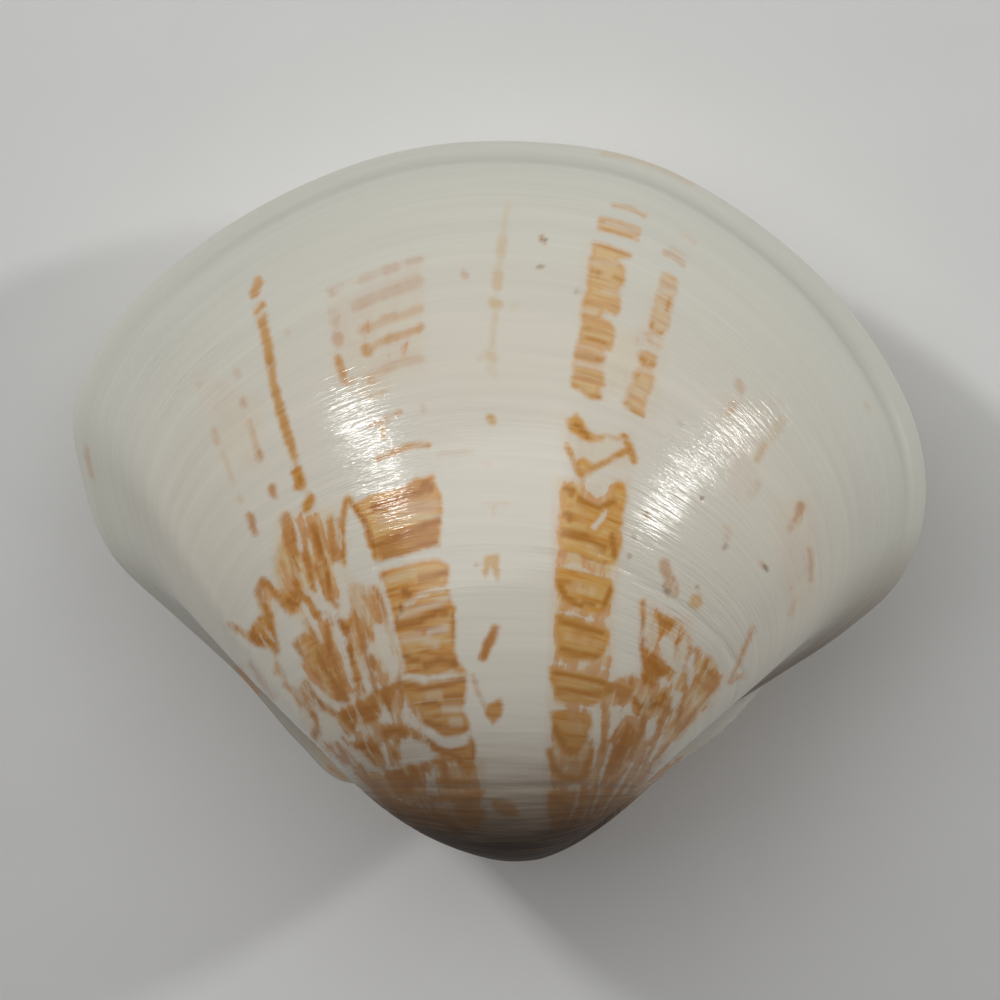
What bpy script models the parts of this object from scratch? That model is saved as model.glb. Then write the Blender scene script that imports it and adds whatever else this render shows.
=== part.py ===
"""A closed pair of valves of a smooth triangular clam, lying on its right valve, with its ligament.

Each valve is lofted through its own growth lines. A growth line is the outline of the shell at one age: flat,
smaller than the finished edge, and turned about the hinge axis, so that together they coil into the umbo.
Shell axes, in millimetres: x toward the front end, y from the hinge axis toward the free edge, z out of the
plane in which the valves meet. The object's own axes are metres with Z up, in its rest pose.
"""

import math

import bmesh
import bpy
import numpy as np
from mathutils import Matrix

COLLECTION = "closed_clam_shell"
MM = 0.001

# The free edge, hinge side first, then the back end, the lower edge and the front end
EDGE_POINTS = [
    (-3.0, 0.75), (-7.2, 0.4), (-9.2, 2.1), (-11.9, 5.05), (-15.2, 8.05),
    (-18.3, 11.1), (-19.6, 14.5), (-20.0, 18.0), (-18.0, 22.05), (-14.4, 25.4),
    (-9.8, 28.2), (-4.4, 30.1), (1.3, 30.5), (7.0, 29.55), (12.4, 26.5), (16.7, 22.4),
    (19.65, 17.3), (20.15, 13.2), (19.0, 9.9), (16.4, 7.4), (13.2, 5.3),
    (10.0, 3.3), (7.4, 1.3), (4.6, 0.75),
]
EDGE_COUNT = 56  # points round every growth line
DENSE_PER_SPAN = 40  # points worked out between two edge points, before they are spaced evenly

# How the growth lines shrink toward the beak. Age counts back from the free edge, and every growth line
# turns about the hinge axis by its age in radians, a little more near the edge, which makes the rim steep.
SHRINK_HEIGHT = 0.835
SHRINK_LENGTH = 0.77
LATE_WIDENING = 0.045  # the last growth lengthened the shell more than it heightened it
LATE_WIDENING_AGE = 0.16
RIM_TURN = 0.10
RIM_TURN_AGE = 0.12
BEAK_LEAN = 1.5  # how far the beak leans to the front
BEAK_LEAN_POWER = 5
BEAK_AGE = 2.62
BEAK_TIP = ((2.74, 0.90), (2.84, 0.68), (2.91, 0.38))  # age and share of the rings that round off the beak
BEAK_TIP_AGE = 2.94
GROWTH_RINGS = 22
RING_CROWDING = 0.4  # closer rings where the coil is tight

# Ledges that stand out on the outside: age, depth and half width in age
RIM_GROOVE = (0.031, -0.16, 0.011)
GROWTH_STEP = (0.76, -0.12, 0.05)
LEDGE_FADE = 7.0  # ledges die out below this distance from the hinge axis

# A low swelling of the right valve in front of its beak
SWELLING = 0.35
SWELLING_CENTRE = (10.4, 3.0)
SWELLING_LENGTH = 2.3
SWELLING_WIDTH = 1.8
SWELLING_RISE = 0.8
SWELLING_DIRECTION = (0.6, -0.8)

# The hollow inside each valve
WALL = 2.3
HINGE_WALL = 3.0  # added to the wall along the hinge
HINGE_REACH = 9.0
RING_MIDDLE = 14.0  # where rings shrink to, as a distance from the hinge axis at the free edge
HOLLOW_AGE = 0.92
HOLLOW_RINGS = 6
HOLLOW_ROOF = ((1.01, 0.62), (1.06, 0.25))  # age and share of the rings that close the hollow
HOLLOW_TIP_AGE = 1.07

GAP = 0.3  # between two touching pieces

# The ligament behind the beaks
LIGAMENT_BACK = (-6.5, 1.05)
LIGAMENT_FRONT = (-2.5, -0.35)
LIGAMENT_HALF_WIDTH = 0.85
LIGAMENT_HALF_HEIGHT = 0.55
LIGAMENT_SEGMENTS = 16
LIGAMENT_RINGS = 10

# The rest pose: how the shell leans on its right valve, and the flat it stands on
REST_PITCH = math.radians(12.5)
REST_ROLL = math.radians(0.0)
FLAT_DEPTH = 0.12
FLAT_CUTTER = 60.0

COLOURS = {
    "left_valve": (0.61, 0.56, 0.47),
    "right_valve": (0.61, 0.56, 0.47),
    "ligament": (0.09, 0.045, 0.02),
}
ROUGHNESS = {"left_valve": 0.25, "right_valve": 0.25, "ligament": 0.6}


def clear_scene():
    for old in list(bpy.data.objects):
        bpy.data.objects.remove(old, do_unlink=True)


def new_collection(name):
    collection = bpy.data.collections.new(name)
    bpy.context.scene.collection.children.link(collection)
    return collection


def make_material(name):
    material = bpy.data.materials.new(name)
    material.use_nodes = True
    shader = material.node_tree.nodes["Principled BSDF"]
    shader.inputs["Base Color"].default_value = (*COLOURS[name], 1.0)
    shader.inputs["Roughness"].default_value = ROUGHNESS[name]
    shader.inputs["Metallic"].default_value = 0.0
    return material


def edge_curve():
    """The free edge as a dense closed curve, with slopes that suit the uneven spacing of its points."""
    points = np.array(EDGE_POINTS)
    before = np.roll(points, 1, axis=0)
    after = np.roll(points, -1, axis=0)
    span = np.sqrt(np.linalg.norm(after - points, axis=1))[:, None]
    last = np.roll(span, 1, axis=0)
    slope = ((points - before) / last * span + (after - points) / span * last) / (span + last)
    w = np.linspace(0.0, 1.0, DENSE_PER_SPAN, endpoint=False)[None, :, None]
    start, end = points[:, None], after[:, None]
    leave = (slope * span)[:, None]
    arrive = (np.roll(slope, -1, axis=0) * span)[:, None]
    curve = (
        (2 * w**3 - 3 * w**2 + 1) * start
        + (w**3 - 2 * w**2 + w) * leave
        + (3 * w**2 - 2 * w**3) * end
        + (w**3 - w**2) * arrive
    )
    return curve.reshape(-1, 2)


def evenly_spaced(curve, count):
    closed = np.vstack([curve, curve[:1]])
    along = np.concatenate([[0.0], np.cumsum(np.linalg.norm(np.diff(closed, axis=0), axis=1))])
    stops = np.linspace(0.0, along[-1], count, endpoint=False)
    return np.stack([np.interp(stops, along, closed[:, i]) for i in range(2)], axis=1)


def growth(age):
    """Length scale, height scale, shift to the front and turn of the growth line of this age."""
    age = np.asarray(age, dtype=float)
    height = np.exp(-SHRINK_HEIGHT * age)
    share = age / LATE_WIDENING_AGE
    length = np.exp(-SHRINK_LENGTH * age) * (1 - LATE_WIDENING * share * np.exp(1 - share))
    lean = BEAK_LEAN * (1 - height) ** BEAK_LEAN_POWER
    turn = age + RIM_TURN * (1 - np.exp(-age / RIM_TURN_AGE))
    return length, height, lean, turn


def ring_ages():
    """Ages of the outer growth lines, closer together in the coil and on either side of each ledge."""
    steps = np.linspace(1.0, math.exp(-RING_CROWDING * BEAK_AGE), GROWTH_RINGS)
    ages = list(-np.log(steps) / RING_CROWDING)
    for centre, _, half in (RIM_GROOVE, GROWTH_STEP):
        ages = [age for age in ages if abs(age - centre) > 1.5 * half]
        ages += [centre - half, centre, centre + half]
    return np.array(sorted(ages))


def on_growth_lines(edge, ages):
    length, height, lean, turn = growth(ages)
    x = length[:, None] * edge[None, :, 0] + lean[:, None]
    reach = height[:, None] * edge[None, :, 1]
    return np.stack([x, reach * np.cos(turn)[:, None], reach * np.sin(turn)[:, None]], axis=-1)


def surface_normals(grid):
    along = np.roll(grid, -1, axis=1) - np.roll(grid, 1, axis=1)
    across = np.gradient(grid, axis=0)
    normal = np.cross(across, along)
    return normal / np.linalg.norm(normal, axis=-1, keepdims=True)


def ledge_relief(ages):
    relief = np.zeros_like(ages)
    for centre, depth, half in (RIM_GROOVE, GROWTH_STEP):
        relief += depth * np.clip(1 - np.abs(ages - centre) / half, 0, 1)
    return relief


def outer_grid(edge, swollen):
    ages = ring_ages()
    grid = on_growth_lines(edge, ages)
    fade = np.clip(np.linalg.norm(grid[..., 1:], axis=-1) / LEDGE_FADE, 0, 1) ** 2
    grid = grid + surface_normals(grid) * (ledge_relief(ages)[:, None] * fade)[..., None]
    if swollen:
        grid = grid + swelling(grid)
    return grid


def swelling(grid):
    """The offset of each point by the low swelling in front of the beak."""
    out = np.array(SWELLING_DIRECTION)
    away = grid[..., :2] - np.array(SWELLING_CENTRE)
    across = away @ out
    along = away @ np.array([-out[1], out[0]])
    rise = 1 - np.exp(-((grid[..., 2] / SWELLING_RISE) ** 2))
    amount = SWELLING * rise * np.exp(-((along / SWELLING_LENGTH) ** 2) - (across / SWELLING_WIDTH) ** 2)
    return np.concatenate([amount[..., None] * out, np.zeros_like(amount)[..., None]], axis=-1)


def shrunk_ring(edge, age, wall, share):
    """A growth line drawn in by the wall toward its middle, then shrunk to a share of itself."""
    length, height, lean, turn = growth(age)
    loop = edge * np.array([length, height])
    middle = np.array([0.0, RING_MIDDLE * height])
    out = loop - middle
    kept = share * (1 - wall / np.linalg.norm(out, axis=1))
    loop = middle + out * kept[:, None]
    return np.stack(
        [loop[:, 0] + lean, loop[:, 1] * math.cos(turn), loop[:, 1] * math.sin(turn)], axis=1
    )


def hollow_rings(edge):
    """The rings of the hollow, from its roof down to the free edge."""
    near_hinge = np.clip(1 - edge[:, 1] / HINGE_REACH, 0, 1)
    stages = [(age, 1.0) for age in np.linspace(0.0, HOLLOW_AGE, HOLLOW_RINGS)] + list(HOLLOW_ROOF)
    rings = []
    for age, share in stages:
        wall = WALL + HINGE_WALL * near_hinge * growth(age)[1]
        rings.append(shrunk_ring(edge, age, wall, share))
    return rings[::-1]


def ring_tip(age, lean_from):
    """The point in which a closing row of rings ends."""
    _, height, _, turn = growth(age)
    reach = RING_MIDDLE * height
    return np.array([lean_from[:, 0].mean(), reach * math.cos(turn), reach * math.sin(turn)])


def valve_mesh(name, swollen, side):
    """One valve as a closed cup. side is 1 for the valve above the meeting plane and -1 for the one below."""
    edge = evenly_spaced(edge_curve(), EDGE_COUNT)
    rings = hollow_rings(edge) + list(outer_grid(edge, swollen))
    rings += [shrunk_ring(edge, age, 0.0, share) for age, share in BEAK_TIP]
    shell = bmesh.new()
    flip = np.array([1.0, 1.0, side])
    lift = np.array([0.0, 0.0, side * GAP / 2])
    loops = [[shell.verts.new((point * flip + lift) * MM) for point in ring] for ring in rings]
    tips = [ring_tip(HOLLOW_TIP_AGE, rings[0]), ring_tip(BEAK_TIP_AGE, rings[-1])]
    tips = [shell.verts.new((tip * flip + lift) * MM) for tip in tips]
    for inner, outer in zip(loops, loops[1:]):
        for i in range(EDGE_COUNT):
            j = (i + 1) % EDGE_COUNT
            shell.faces.new((inner[i], inner[j], outer[j], outer[i]))
    for i in range(EDGE_COUNT):
        j = (i + 1) % EDGE_COUNT
        shell.faces.new((loops[0][j], loops[0][i], tips[0]))
        shell.faces.new((loops[-1][i], loops[-1][j], tips[1]))
    bmesh.ops.recalc_face_normals(shell, faces=shell.faces)
    mesh = bpy.data.meshes.new(name)
    shell.to_mesh(mesh)
    shell.free()
    return mesh


def ligament_mesh(name, grown):
    """A spindle between the ligament's two ends, grown on every side by the given amount."""
    back, front = np.array(LIGAMENT_BACK), np.array(LIGAMENT_FRONT)
    axis = front - back
    half_length = np.linalg.norm(axis) / 2
    shape = bmesh.new()
    bmesh.ops.create_uvsphere(
        shape, u_segments=LIGAMENT_SEGMENTS, v_segments=LIGAMENT_RINGS, radius=1.0
    )
    sizes = (LIGAMENT_HALF_HEIGHT + grown, LIGAMENT_HALF_WIDTH + grown, half_length + grown)
    middle = (back + front) / 2
    place = (
        Matrix.Translation((middle[0] * MM, middle[1] * MM, 0.0))
        @ Matrix.Rotation(math.atan2(axis[1], axis[0]), 4, "Z")
        @ Matrix.Rotation(math.radians(90), 4, "Y")
        @ Matrix.Diagonal((*(size * MM for size in sizes), 1.0))
    )
    bmesh.ops.transform(shape, matrix=place, verts=shape.verts)
    bmesh.ops.recalc_face_normals(shape, faces=shape.faces)
    mesh = bpy.data.meshes.new(name)
    shape.to_mesh(mesh)
    shape.free()
    return mesh


def add_object(name, mesh, collection):
    piece = bpy.data.objects.new(name, mesh)
    collection.objects.link(piece)
    mesh.shade_smooth()
    mesh.set_sharp_from_angle(angle=math.radians(40))
    return piece


def add_cutter(name, mesh, collection):
    cutter = bpy.data.objects.new(name, mesh)
    collection.objects.link(cutter)
    cutter.hide_render = True
    cutter.display_type = "WIRE"
    return cutter


def cut(piece, cutter):
    modifier = piece.modifiers.new(cutter.name, "BOOLEAN")
    modifier.operation = "DIFFERENCE"
    modifier.solver = "EXACT"
    modifier.object = cutter


def rest_transform(meshes):
    """Turns the shell into its rest pose and sets the middle of its underside at the origin."""
    turn = Matrix.Rotation(REST_ROLL, 4, "Y") @ Matrix.Rotation(-REST_PITCH, 4, "X")
    corners = np.array([turn @ vertex.co for mesh in meshes for vertex in mesh.vertices])
    low, high = corners.min(axis=0), corners.max(axis=0)
    floor = low[2] + FLAT_DEPTH * MM
    middle = (low + high) / 2
    return Matrix.Translation((-middle[0], -middle[1], -floor)) @ turn


def floor_cutter_mesh(name):
    block = bmesh.new()
    bmesh.ops.create_cube(block, size=FLAT_CUTTER * MM)
    bmesh.ops.translate(block, vec=(0.0, 0.0, -FLAT_CUTTER * MM / 2), verts=block.verts)
    mesh = bpy.data.meshes.new(name)
    block.to_mesh(mesh)
    block.free()
    return mesh


def main():
    clear_scene()
    parts = new_collection(COLLECTION)
    cutters = new_collection("cutters")
    left = valve_mesh("left_valve", False, 1)
    right = valve_mesh("right_valve", True, -1)
    ligament = ligament_mesh("ligament", 0.0)
    rest = rest_transform([left, right])
    recess = ligament_mesh("ligament_recess", GAP)
    for mesh in (left, right, ligament, recess):
        mesh.transform(rest)
    recess_cutter = add_cutter("ligament_recess", recess, cutters)
    floor_cutter = add_cutter("floor", floor_cutter_mesh("floor"), cutters)
    for mesh in (left, right, ligament):
        piece = add_object(mesh.name, mesh, parts)
        mesh.materials.append(make_material(mesh.name))
        if mesh is not ligament:
            cut(piece, recess_cutter)
        if mesh is right:
            cut(piece, floor_cutter)


main()
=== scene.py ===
"""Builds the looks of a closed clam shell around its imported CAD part: two glossy valves with brown marks, the
ligament between them, and a plain studio.

Shell axes, in millimetres: x toward the front end, y from the hinge axis toward the free edge, z out of the
plane in which the valves meet. The row frame is in metres, with the shell lying on its right valve.
"""

import math

import bpy
import numpy as np
from bpy.props import FloatProperty, FloatVectorProperty, IntProperty, PointerProperty
from mathutils import Matrix, Vector


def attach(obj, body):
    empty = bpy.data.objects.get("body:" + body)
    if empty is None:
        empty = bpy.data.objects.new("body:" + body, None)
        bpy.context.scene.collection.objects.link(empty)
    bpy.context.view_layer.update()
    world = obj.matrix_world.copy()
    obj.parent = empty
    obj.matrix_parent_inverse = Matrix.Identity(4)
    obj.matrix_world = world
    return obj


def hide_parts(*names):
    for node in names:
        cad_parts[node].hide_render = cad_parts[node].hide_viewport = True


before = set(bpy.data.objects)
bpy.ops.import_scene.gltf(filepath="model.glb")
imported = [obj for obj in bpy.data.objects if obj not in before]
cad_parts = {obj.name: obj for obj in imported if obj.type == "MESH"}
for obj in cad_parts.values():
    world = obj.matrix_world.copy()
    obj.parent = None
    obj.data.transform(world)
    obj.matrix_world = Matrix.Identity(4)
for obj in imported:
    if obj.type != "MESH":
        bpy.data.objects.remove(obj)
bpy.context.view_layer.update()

bl_info = {
    "name": "Closed Clam Shell",
    "version": (1, 0, 0),
    "blender": (4, 5, 0),
    "location": "View3D > Sidebar > Clam Shell",
    "description": "Builds a glossy closed clam shell with its ligament and a plain studio",
    "category": "Object",
}

MM = 0.001

# The free edge, hinge side first, then the back end, the lower edge and the front end
EDGE_POINTS = [
    (-3.0, 0.75), (-7.2, 0.4), (-9.2, 2.1), (-11.9, 5.05), (-15.2, 8.05),
    (-18.3, 11.1), (-19.6, 14.5), (-20.0, 18.0), (-18.0, 22.05), (-14.4, 25.4),
    (-9.8, 28.2), (-4.4, 30.1), (1.3, 30.5), (7.0, 29.55), (12.4, 26.5), (16.7, 22.4),
    (19.65, 17.3), (20.15, 13.2), (19.0, 9.9), (16.4, 7.4), (13.2, 5.3),
    (10.0, 3.3), (7.4, 1.3), (4.6, 0.75),
]
DENSE_PER_SPAN = 60

# How the growth lines shrink and turn toward the beak, by age counted back from the free edge
SHRINK_HEIGHT = 0.835
SHRINK_LENGTH = 0.77
LATE_WIDENING = 0.045
LATE_WIDENING_AGE = 0.16
RIM_TURN = 0.10
RIM_TURN_AGE = 0.12
BEAK_LEAN = 1.5
BEAK_LEAN_POWER = 5
BEAK_AGE = 2.62
BEAK_TIP = (
    (2.68, 0.97), (2.74, 0.90), (2.79, 0.80), (2.84, 0.68), (2.88, 0.54), (2.91, 0.38), (2.93, 0.2),
)
BEAK_TIP_AGE = 2.94

# The low swelling of the right valve in front of its beak
SWELLING = 0.35
SWELLING_CENTRE = (10.4, 3.0)
SWELLING_LENGTH = 2.3
SWELLING_WIDTH = 1.8
SWELLING_RISE = 0.8
SWELLING_DIRECTION = (0.6, -0.8)

# The hollow inside each valve
WALL = 2.3
HINGE_WALL = 3.0
HINGE_REACH = 9.0
RING_MIDDLE = 14.0
HOLLOW_STAGES = (
    (0.0, 1.0), (0.2, 1.0), (0.4, 1.0), (0.6, 1.0), (0.8, 1.0), (0.92, 1.0), (1.01, 0.62), (1.06, 0.25),
)
HOLLOW_TIP_AGE = 1.07

# Relief of the outside, by age: how deep, and half the width in age
RIM_GROOVE = (0.036, 0.15, 0.0105)
RIM_GROOVE_DRIFT = 0.0016
GROOVE_COURSE = (
    (0.0, 1.55, 2.3, 3.1, 4.15, 4.7, 2 * math.pi), (0.08, 0.1, 0.75, 1.0, 1.0, 0.12, 0.08),
)
GROWTH_RESTS = (
    (0.052, 0.012, 0.004), (0.074, 0.022, 0.005), (0.118, 0.014, 0.004), (0.205, 0.012, 0.005),
    (0.335, 0.012, 0.005), (0.470, 0.014, 0.005), (0.757, 0.030, 0.006), (0.905, 0.020, 0.006),
    (1.080, 0.020, 0.007), (1.270, 0.030, 0.009), (1.475, 0.050, 0.016), (1.700, 0.030, 0.02),
)
REST_DRIFT = 0.15
REST_BANK = 0.6
REST_BANK_PLACE = 1.6
LEFT_SEED, RIGHT_SEED = 11, 23
FOLDS = 60
FOLD_HEIGHT = 0.006
FOLD_WIDTHS = (0.25, 0.7)
FIRST_FOLD = 0.6
LEDGE_FADE = 7.0
LIP_ROUNDING = 0.16
LIP_HEIGHT = 0.2
SEEN_GAP = 0.05  # the closed valves touch, so the scene shows a hair-thin line between them

# The ligament behind the beaks
LIGAMENT_BACK = (-6.5, 1.05)
LIGAMENT_FRONT = (-2.5, -0.35)
LIGAMENT_HALF_WIDTH = 0.85
LIGAMENT_HALF_HEIGHT = 0.55
LIGAMENT_CLEARANCE = 0.04
LIGAMENT_RINGS = 90
LIGAMENT_COLUMNS = 64
LIGAMENT_TIP = 0.02
CRACKS = 26
CRACK_DEPTHS = (0.01, 0.05)
CRACK_PLACES = (0.2, 2.9)
CRACK_WIDTH = 0.022
CRACK_ROUND = (0.7, 0.3)
RIBS, RIB_DEPTH, RIB_WAVE = 11, 0.02, 0.8
LIGAMENT_SEED = 5
HORN_ROUGHNESS = 0.5
FIBRE_EDGE = (0.35, 0.7)
FIBRE_SIZE = 3000.0
FIBRE_COLOUR = (0.2, 0.1, 0.045)
FIBRE_DEPTH = 0.00003

# The rest pose: the hinge axis in the row frame, and how far the shell leans on its right valve
REST_PITCH = math.radians(12.5)
REST_TURN = np.array(Matrix.Rotation(-REST_PITCH, 3, "X"))
HINGE_PLACE = (-0.0844, -12.9252, 14.6973)

# The photograph: its scale, the hinge's pixel, and how far its camera looks from square on
MM_PER_PIXEL = 0.04673
HINGE_PIXEL = (497.0, 790.0)
VIEW_PITCH = math.radians(3.0)
VIEW_ROLL = math.radians(-2.2)
VIEW_DISTANCE = 420.0
VIEW_CENTRE_Y = 13.6
PICTURE_PIXELS = 1000
SENSOR_WIDTH = 36.0
CLIP = (0.01, 10.0)

# The studio, in metres and watts
FLOOR_HALF = 1.5
FLOOR_ROUGHNESS = 0.9
FLOOR_SHADE = 0.98
PULP_SIZE, PULP_EDGE = 400.0, (0.3, 0.7)
LIGHT_TARGET = (0.0, 0.0, 0.012)
SOFTBOXES = (
    ("left_softbox", (-0.55, 0.565, 0.62), 0.45, (0.038, 0.07), 0.44),
    ("right_softbox", (0.79, 0.345, 0.45), 0.45, (0.034, 0.07), 0.44),
    ("top_softbox", (-0.10, 0.46, 0.88), 0.9, (0.9, 0.6), 2.8),
)
AIR_COLOUR = (1.0, 0.99, 0.97, 1.0)
AIR_STRENGTH = 0.053

# Noise along the growth lines: scale twice round the valve and once over its growth, detail and roughness
NOISES = {
    "fine": ((0.9, 0.9, 5.0), 3.0, 0.55),
    "broad": ((0.5, 0.5, 1.1), 2.0, 0.55),
    "bands": ((2.2, 2.2, 2.6), 2.0, 0.55),
    "striae": ((4.2, 4.2, 4.6), 3.0, 0.62),
    "long_striae": ((1.2, 1.2, 4.6), 2.0, 0.55),
    "rays": ((11.0, 11.0, 0.55), 3.0, 0.55),
}
GROWTH_LINE_RADIUS = 1.5
GRAIN_SIZE = 2400.0

# Where the tints, the painted shade and the wear begin and end, by age, and how strong each of them gets
MARGIN_AGES = (0.42, 0.02)
UMBO_AGES = (0.95, 1.5)
OLD_MARK_AGES, OLD_MARK_SHARE = (0.72, 1.40), 0.60
# Brown round the beaks, reaching further out as painted shade toward the umbo
UMBO_STAIN_AND_SHADE_AGES, UMBO_STAIN_AND_SHADE_SHARE = (1.15, 1.65), 0.6
# The beaks darken to near black: partly their brown, mostly painted shade on the side turned from the lights
BEAK_BROWN_AND_SHADE_AGES, BEAK_BROWN_AND_SHADE_SHARE = (1.38, 1.98), 0.96
WORN_AGES, WORN_ROUGHNESS = (1.2, 1.7), 0.6
DULL_RIM_AGES, DULL_RIM_ROUGHNESS = (0.12, 0.03), 0.16
# The lip where the valves meet is darkened with the beak colour: painted shade in the crack between them
LIP_SHADE_AGES, LIP_SHADE_SHARE = (0.0030, 0.0012), 0.8
OUTSIDE_AGES = (-0.5, -0.1)
# Grey painted shade in the groove inside the rim
GROOVE_SHADE_SHARE = 0.42
SPECK_SHARE = 0.62

# The borders of marks in millimetres, and what lies between them
MARK_BORDER = (-0.16, 0.15)
MARK_OUTLINE, OUTLINE_SHARE = (0.34, 0.12), 0.5
BANDED_SHARE = 0.85
NET_HUES = (0.0, 0.28)
STREAK_SHARE, BAR_SHARE, GAP_SHARE = 0.7, 0.5, 0.5
YELLOW_SHARE, PINK_SHARE = 0.6, 0.55
STREAKY_WASH, EVEN_WASH = 0.72, 0.42
FINE_TONE, BROAD_TONE = 0.10, (0.14, 0.89)
# Patchiness of the brownish band beside the hinge, which is partly stained and partly painted shade
STAIN_AND_SHADE_PATCHES = (0.6, 0.55)
FILM_RAYS, FILM_GRAIN, FILM_GAIN = 0.75, 0.25, (0.45, -0.31)
FILM_EDGE, FILM_REACH, FILM_TINT_RAYS = (0.40, 0.56), (0.02, 0.35), (0.42, 0.58)
GRAIN_WOBBLE, BAND_WOBBLE = (0.22, -0.11), (0.16, -0.08)
COVER_WEAR, GAP_RAYS = (0.0, 0.42), (0.46, 0.37)
BANDED_BY, BANDED_EDGE = (0.7, 0.3), (0.40, 0.62)
STREAK_RAYS, BAR_BANDS, DEEP_BANDS = (0.50, 0.60), (0.56, 0.68), (0.7, 0.3)
BEAK_WOBBLE, BEAK_RINGS = (0.28, -0.14), (0.42, 0.62)
STRIA_HEIGHT, LONG_STRIA_HEIGHT, PLAIN_STRIA_HEIGHT, RIDGE_HEIGHT = 1.9, 1.5, 0.2, 1.2


def colour(name, description, default):
    return FloatVectorProperty(name=name, description=description, subtype="COLOR", default=default)


class ClamShellSettings(bpy.types.PropertyGroup):
    columns: IntProperty(
        name="Columns", description="Points round every growth line of a valve", default=480, min=64
    )
    rings: IntProperty(
        name="Rings", description="Growth lines between the free edge and the beak", default=188, min=32
    )
    ground_colour: colour("Ground", "Porcelain white of the valves", (0.84, 0.79, 0.675))
    margin_colour: colour("Margin", "Cooler white near the free edge", (0.735, 0.725, 0.635))
    umbo_colour: colour("Umbo", "Duller white of the oldest part", (0.72, 0.67, 0.58))
    # Beak colour: partly brown, mostly painted shade on the beaks; on the line between the valves it is painted
    # shade in the crack
    beak_colour: colour(
        "Beak", "Dark brown of the beaks and of the line between the valves", (0.028, 0.011, 0.005)
    )
    # Grey painted shade in the groove inside the rim
    groove_shade_colour: colour("Groove", "Grey of the groove inside the rim", (0.47, 0.47, 0.43))
    speck_colour: colour("Specks", "Olive brown of the small specks", (0.10, 0.07, 0.03))
    # Brownish tinge beside the hinge: partly stained, partly painted shade where the valves meet
    hinge_stain_and_shade_colour: colour("Stain", "Brownish tinge beside the hinge", (0.25, 0.17, 0.115))
    # Brown round the beaks, partly painted shade toward the umbo
    umbo_stain_and_shade_colour: colour("Umbo Stain And Shade", "Brown tinge round the beaks", (0.27, 0.145, 0.066))
    # Lighter rings inside the painted shade of the beaks
    shaded_beak_ring_colour: colour("Shaded Beak Rings", "Lighter growth rings on the beaks", (0.10, 0.048, 0.02))
    mark_colour: colour("Marks", "Orange brown of the marks", (0.76, 0.295, 0.030))
    pale_mark_colour: colour("Pale Marks", "Tan inside the marks", (0.84, 0.54, 0.205))
    deep_mark_colour: colour("Deep Marks", "Darker lines inside the marks", (0.39, 0.137, 0.018))
    old_mark_colour: colour("Old Marks", "Duller brown of the marks near the beaks", (0.40, 0.19, 0.075))
    yellow_mark_colour: colour("Yellow Marks", "Yellowish marks", (0.72, 0.46, 0.15))
    pink_mark_colour: colour("Pink Marks", "Pinkish brown marks", (0.60, 0.28, 0.12))
    ligament_colour: colour("Ligament", "Horny brown of the ligament", (0.085, 0.04, 0.018))
    gloss_roughness: FloatProperty(
        name="Gloss Roughness", description="Roughness of the glossy outside", default=0.14, min=0.0, max=1.0
    )
    line_depth: FloatProperty(
        name="Line Depth", description="Depth of the fine growth lines", default=0.00003, unit="LENGTH"
    )
    floor_colour: colour("Floor", "Pale studio floor", (0.92, 0.92, 0.91))


def edge_curve():
    """The free edge as a dense closed curve, with slopes that suit its uneven points."""
    points = np.array(EDGE_POINTS)
    before = np.roll(points, 1, axis=0)
    after = np.roll(points, -1, axis=0)
    span = np.sqrt(np.linalg.norm(after - points, axis=1))[:, None]
    last = np.roll(span, 1, axis=0)
    slope = ((points - before) / last * span + (after - points) / span * last) / (span + last)
    w = np.linspace(0.0, 1.0, DENSE_PER_SPAN, endpoint=False)[None, :, None]
    start, end = points[:, None], after[:, None]
    leave = (slope * span)[:, None]
    arrive = (np.roll(slope, -1, axis=0) * span)[:, None]
    curve = (
        (2 * w**3 - 3 * w**2 + 1) * start
        + (w**3 - 2 * w**2 + w) * leave
        + (3 * w**2 - 2 * w**3) * end
        + (w**3 - w**2) * arrive
    )
    return curve.reshape(-1, 2)


def evenly_spaced(curve, count):
    closed = np.vstack([curve, curve[:1]])
    along = np.concatenate([[0.0], np.cumsum(np.linalg.norm(np.diff(closed, axis=0), axis=1))])
    stops = np.linspace(0.0, along[-1], count, endpoint=False)
    return np.stack([np.interp(stops, along, closed[:, i]) for i in range(2)], axis=1)


def growth(age):
    """Length scale, height scale, shift to the front and turn of the growth line of this age."""
    age = np.asarray(age, dtype=float)
    height = np.exp(-SHRINK_HEIGHT * age)
    share = age / LATE_WIDENING_AGE
    length = np.exp(-SHRINK_LENGTH * age) * (1 - LATE_WIDENING * share * np.exp(1 - share))
    lean = BEAK_LEAN * (1 - height) ** BEAK_LEAN_POWER
    turn = age + RIM_TURN * (1 - np.exp(-age / RIM_TURN_AGE))
    return length, height, lean, turn


def growth_distance(ages):
    """How far each age lies from the free edge along the middle of the valve."""
    dense = np.linspace(0.0, BEAK_TIP_AGE, 3000)
    _, height, _, turn = growth(dense)
    reach = height * max(y for _, y in EDGE_POINTS)
    steps = np.hypot(np.diff(reach * np.cos(turn)), np.diff(reach * np.sin(turn)))
    return np.interp(ages, dense, np.concatenate([[0.0], np.cumsum(steps)]))


def ring_ages(count):
    """Ages at nearly even steps over the surface, with a few extra ones in the rounding of the lip."""
    dense = np.linspace(0.0, BEAK_AGE, 2000)
    stops = np.linspace(0.0, growth_distance(BEAK_AGE), count)
    ages = np.interp(stops, growth_distance(dense), dense)
    lip = np.array([0.0006, 0.0013, 0.0022, 0.0034])
    return np.unique(np.concatenate([lip, ages]))


def on_growth_lines(edge, ages):
    length, height, lean, turn = growth(ages)
    x = length[:, None] * edge[None, :, 0] + lean[:, None]
    reach = height[:, None] * edge[None, :, 1]
    return np.stack([x, reach * np.cos(turn)[:, None], reach * np.sin(turn)[:, None]], axis=-1)


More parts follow.
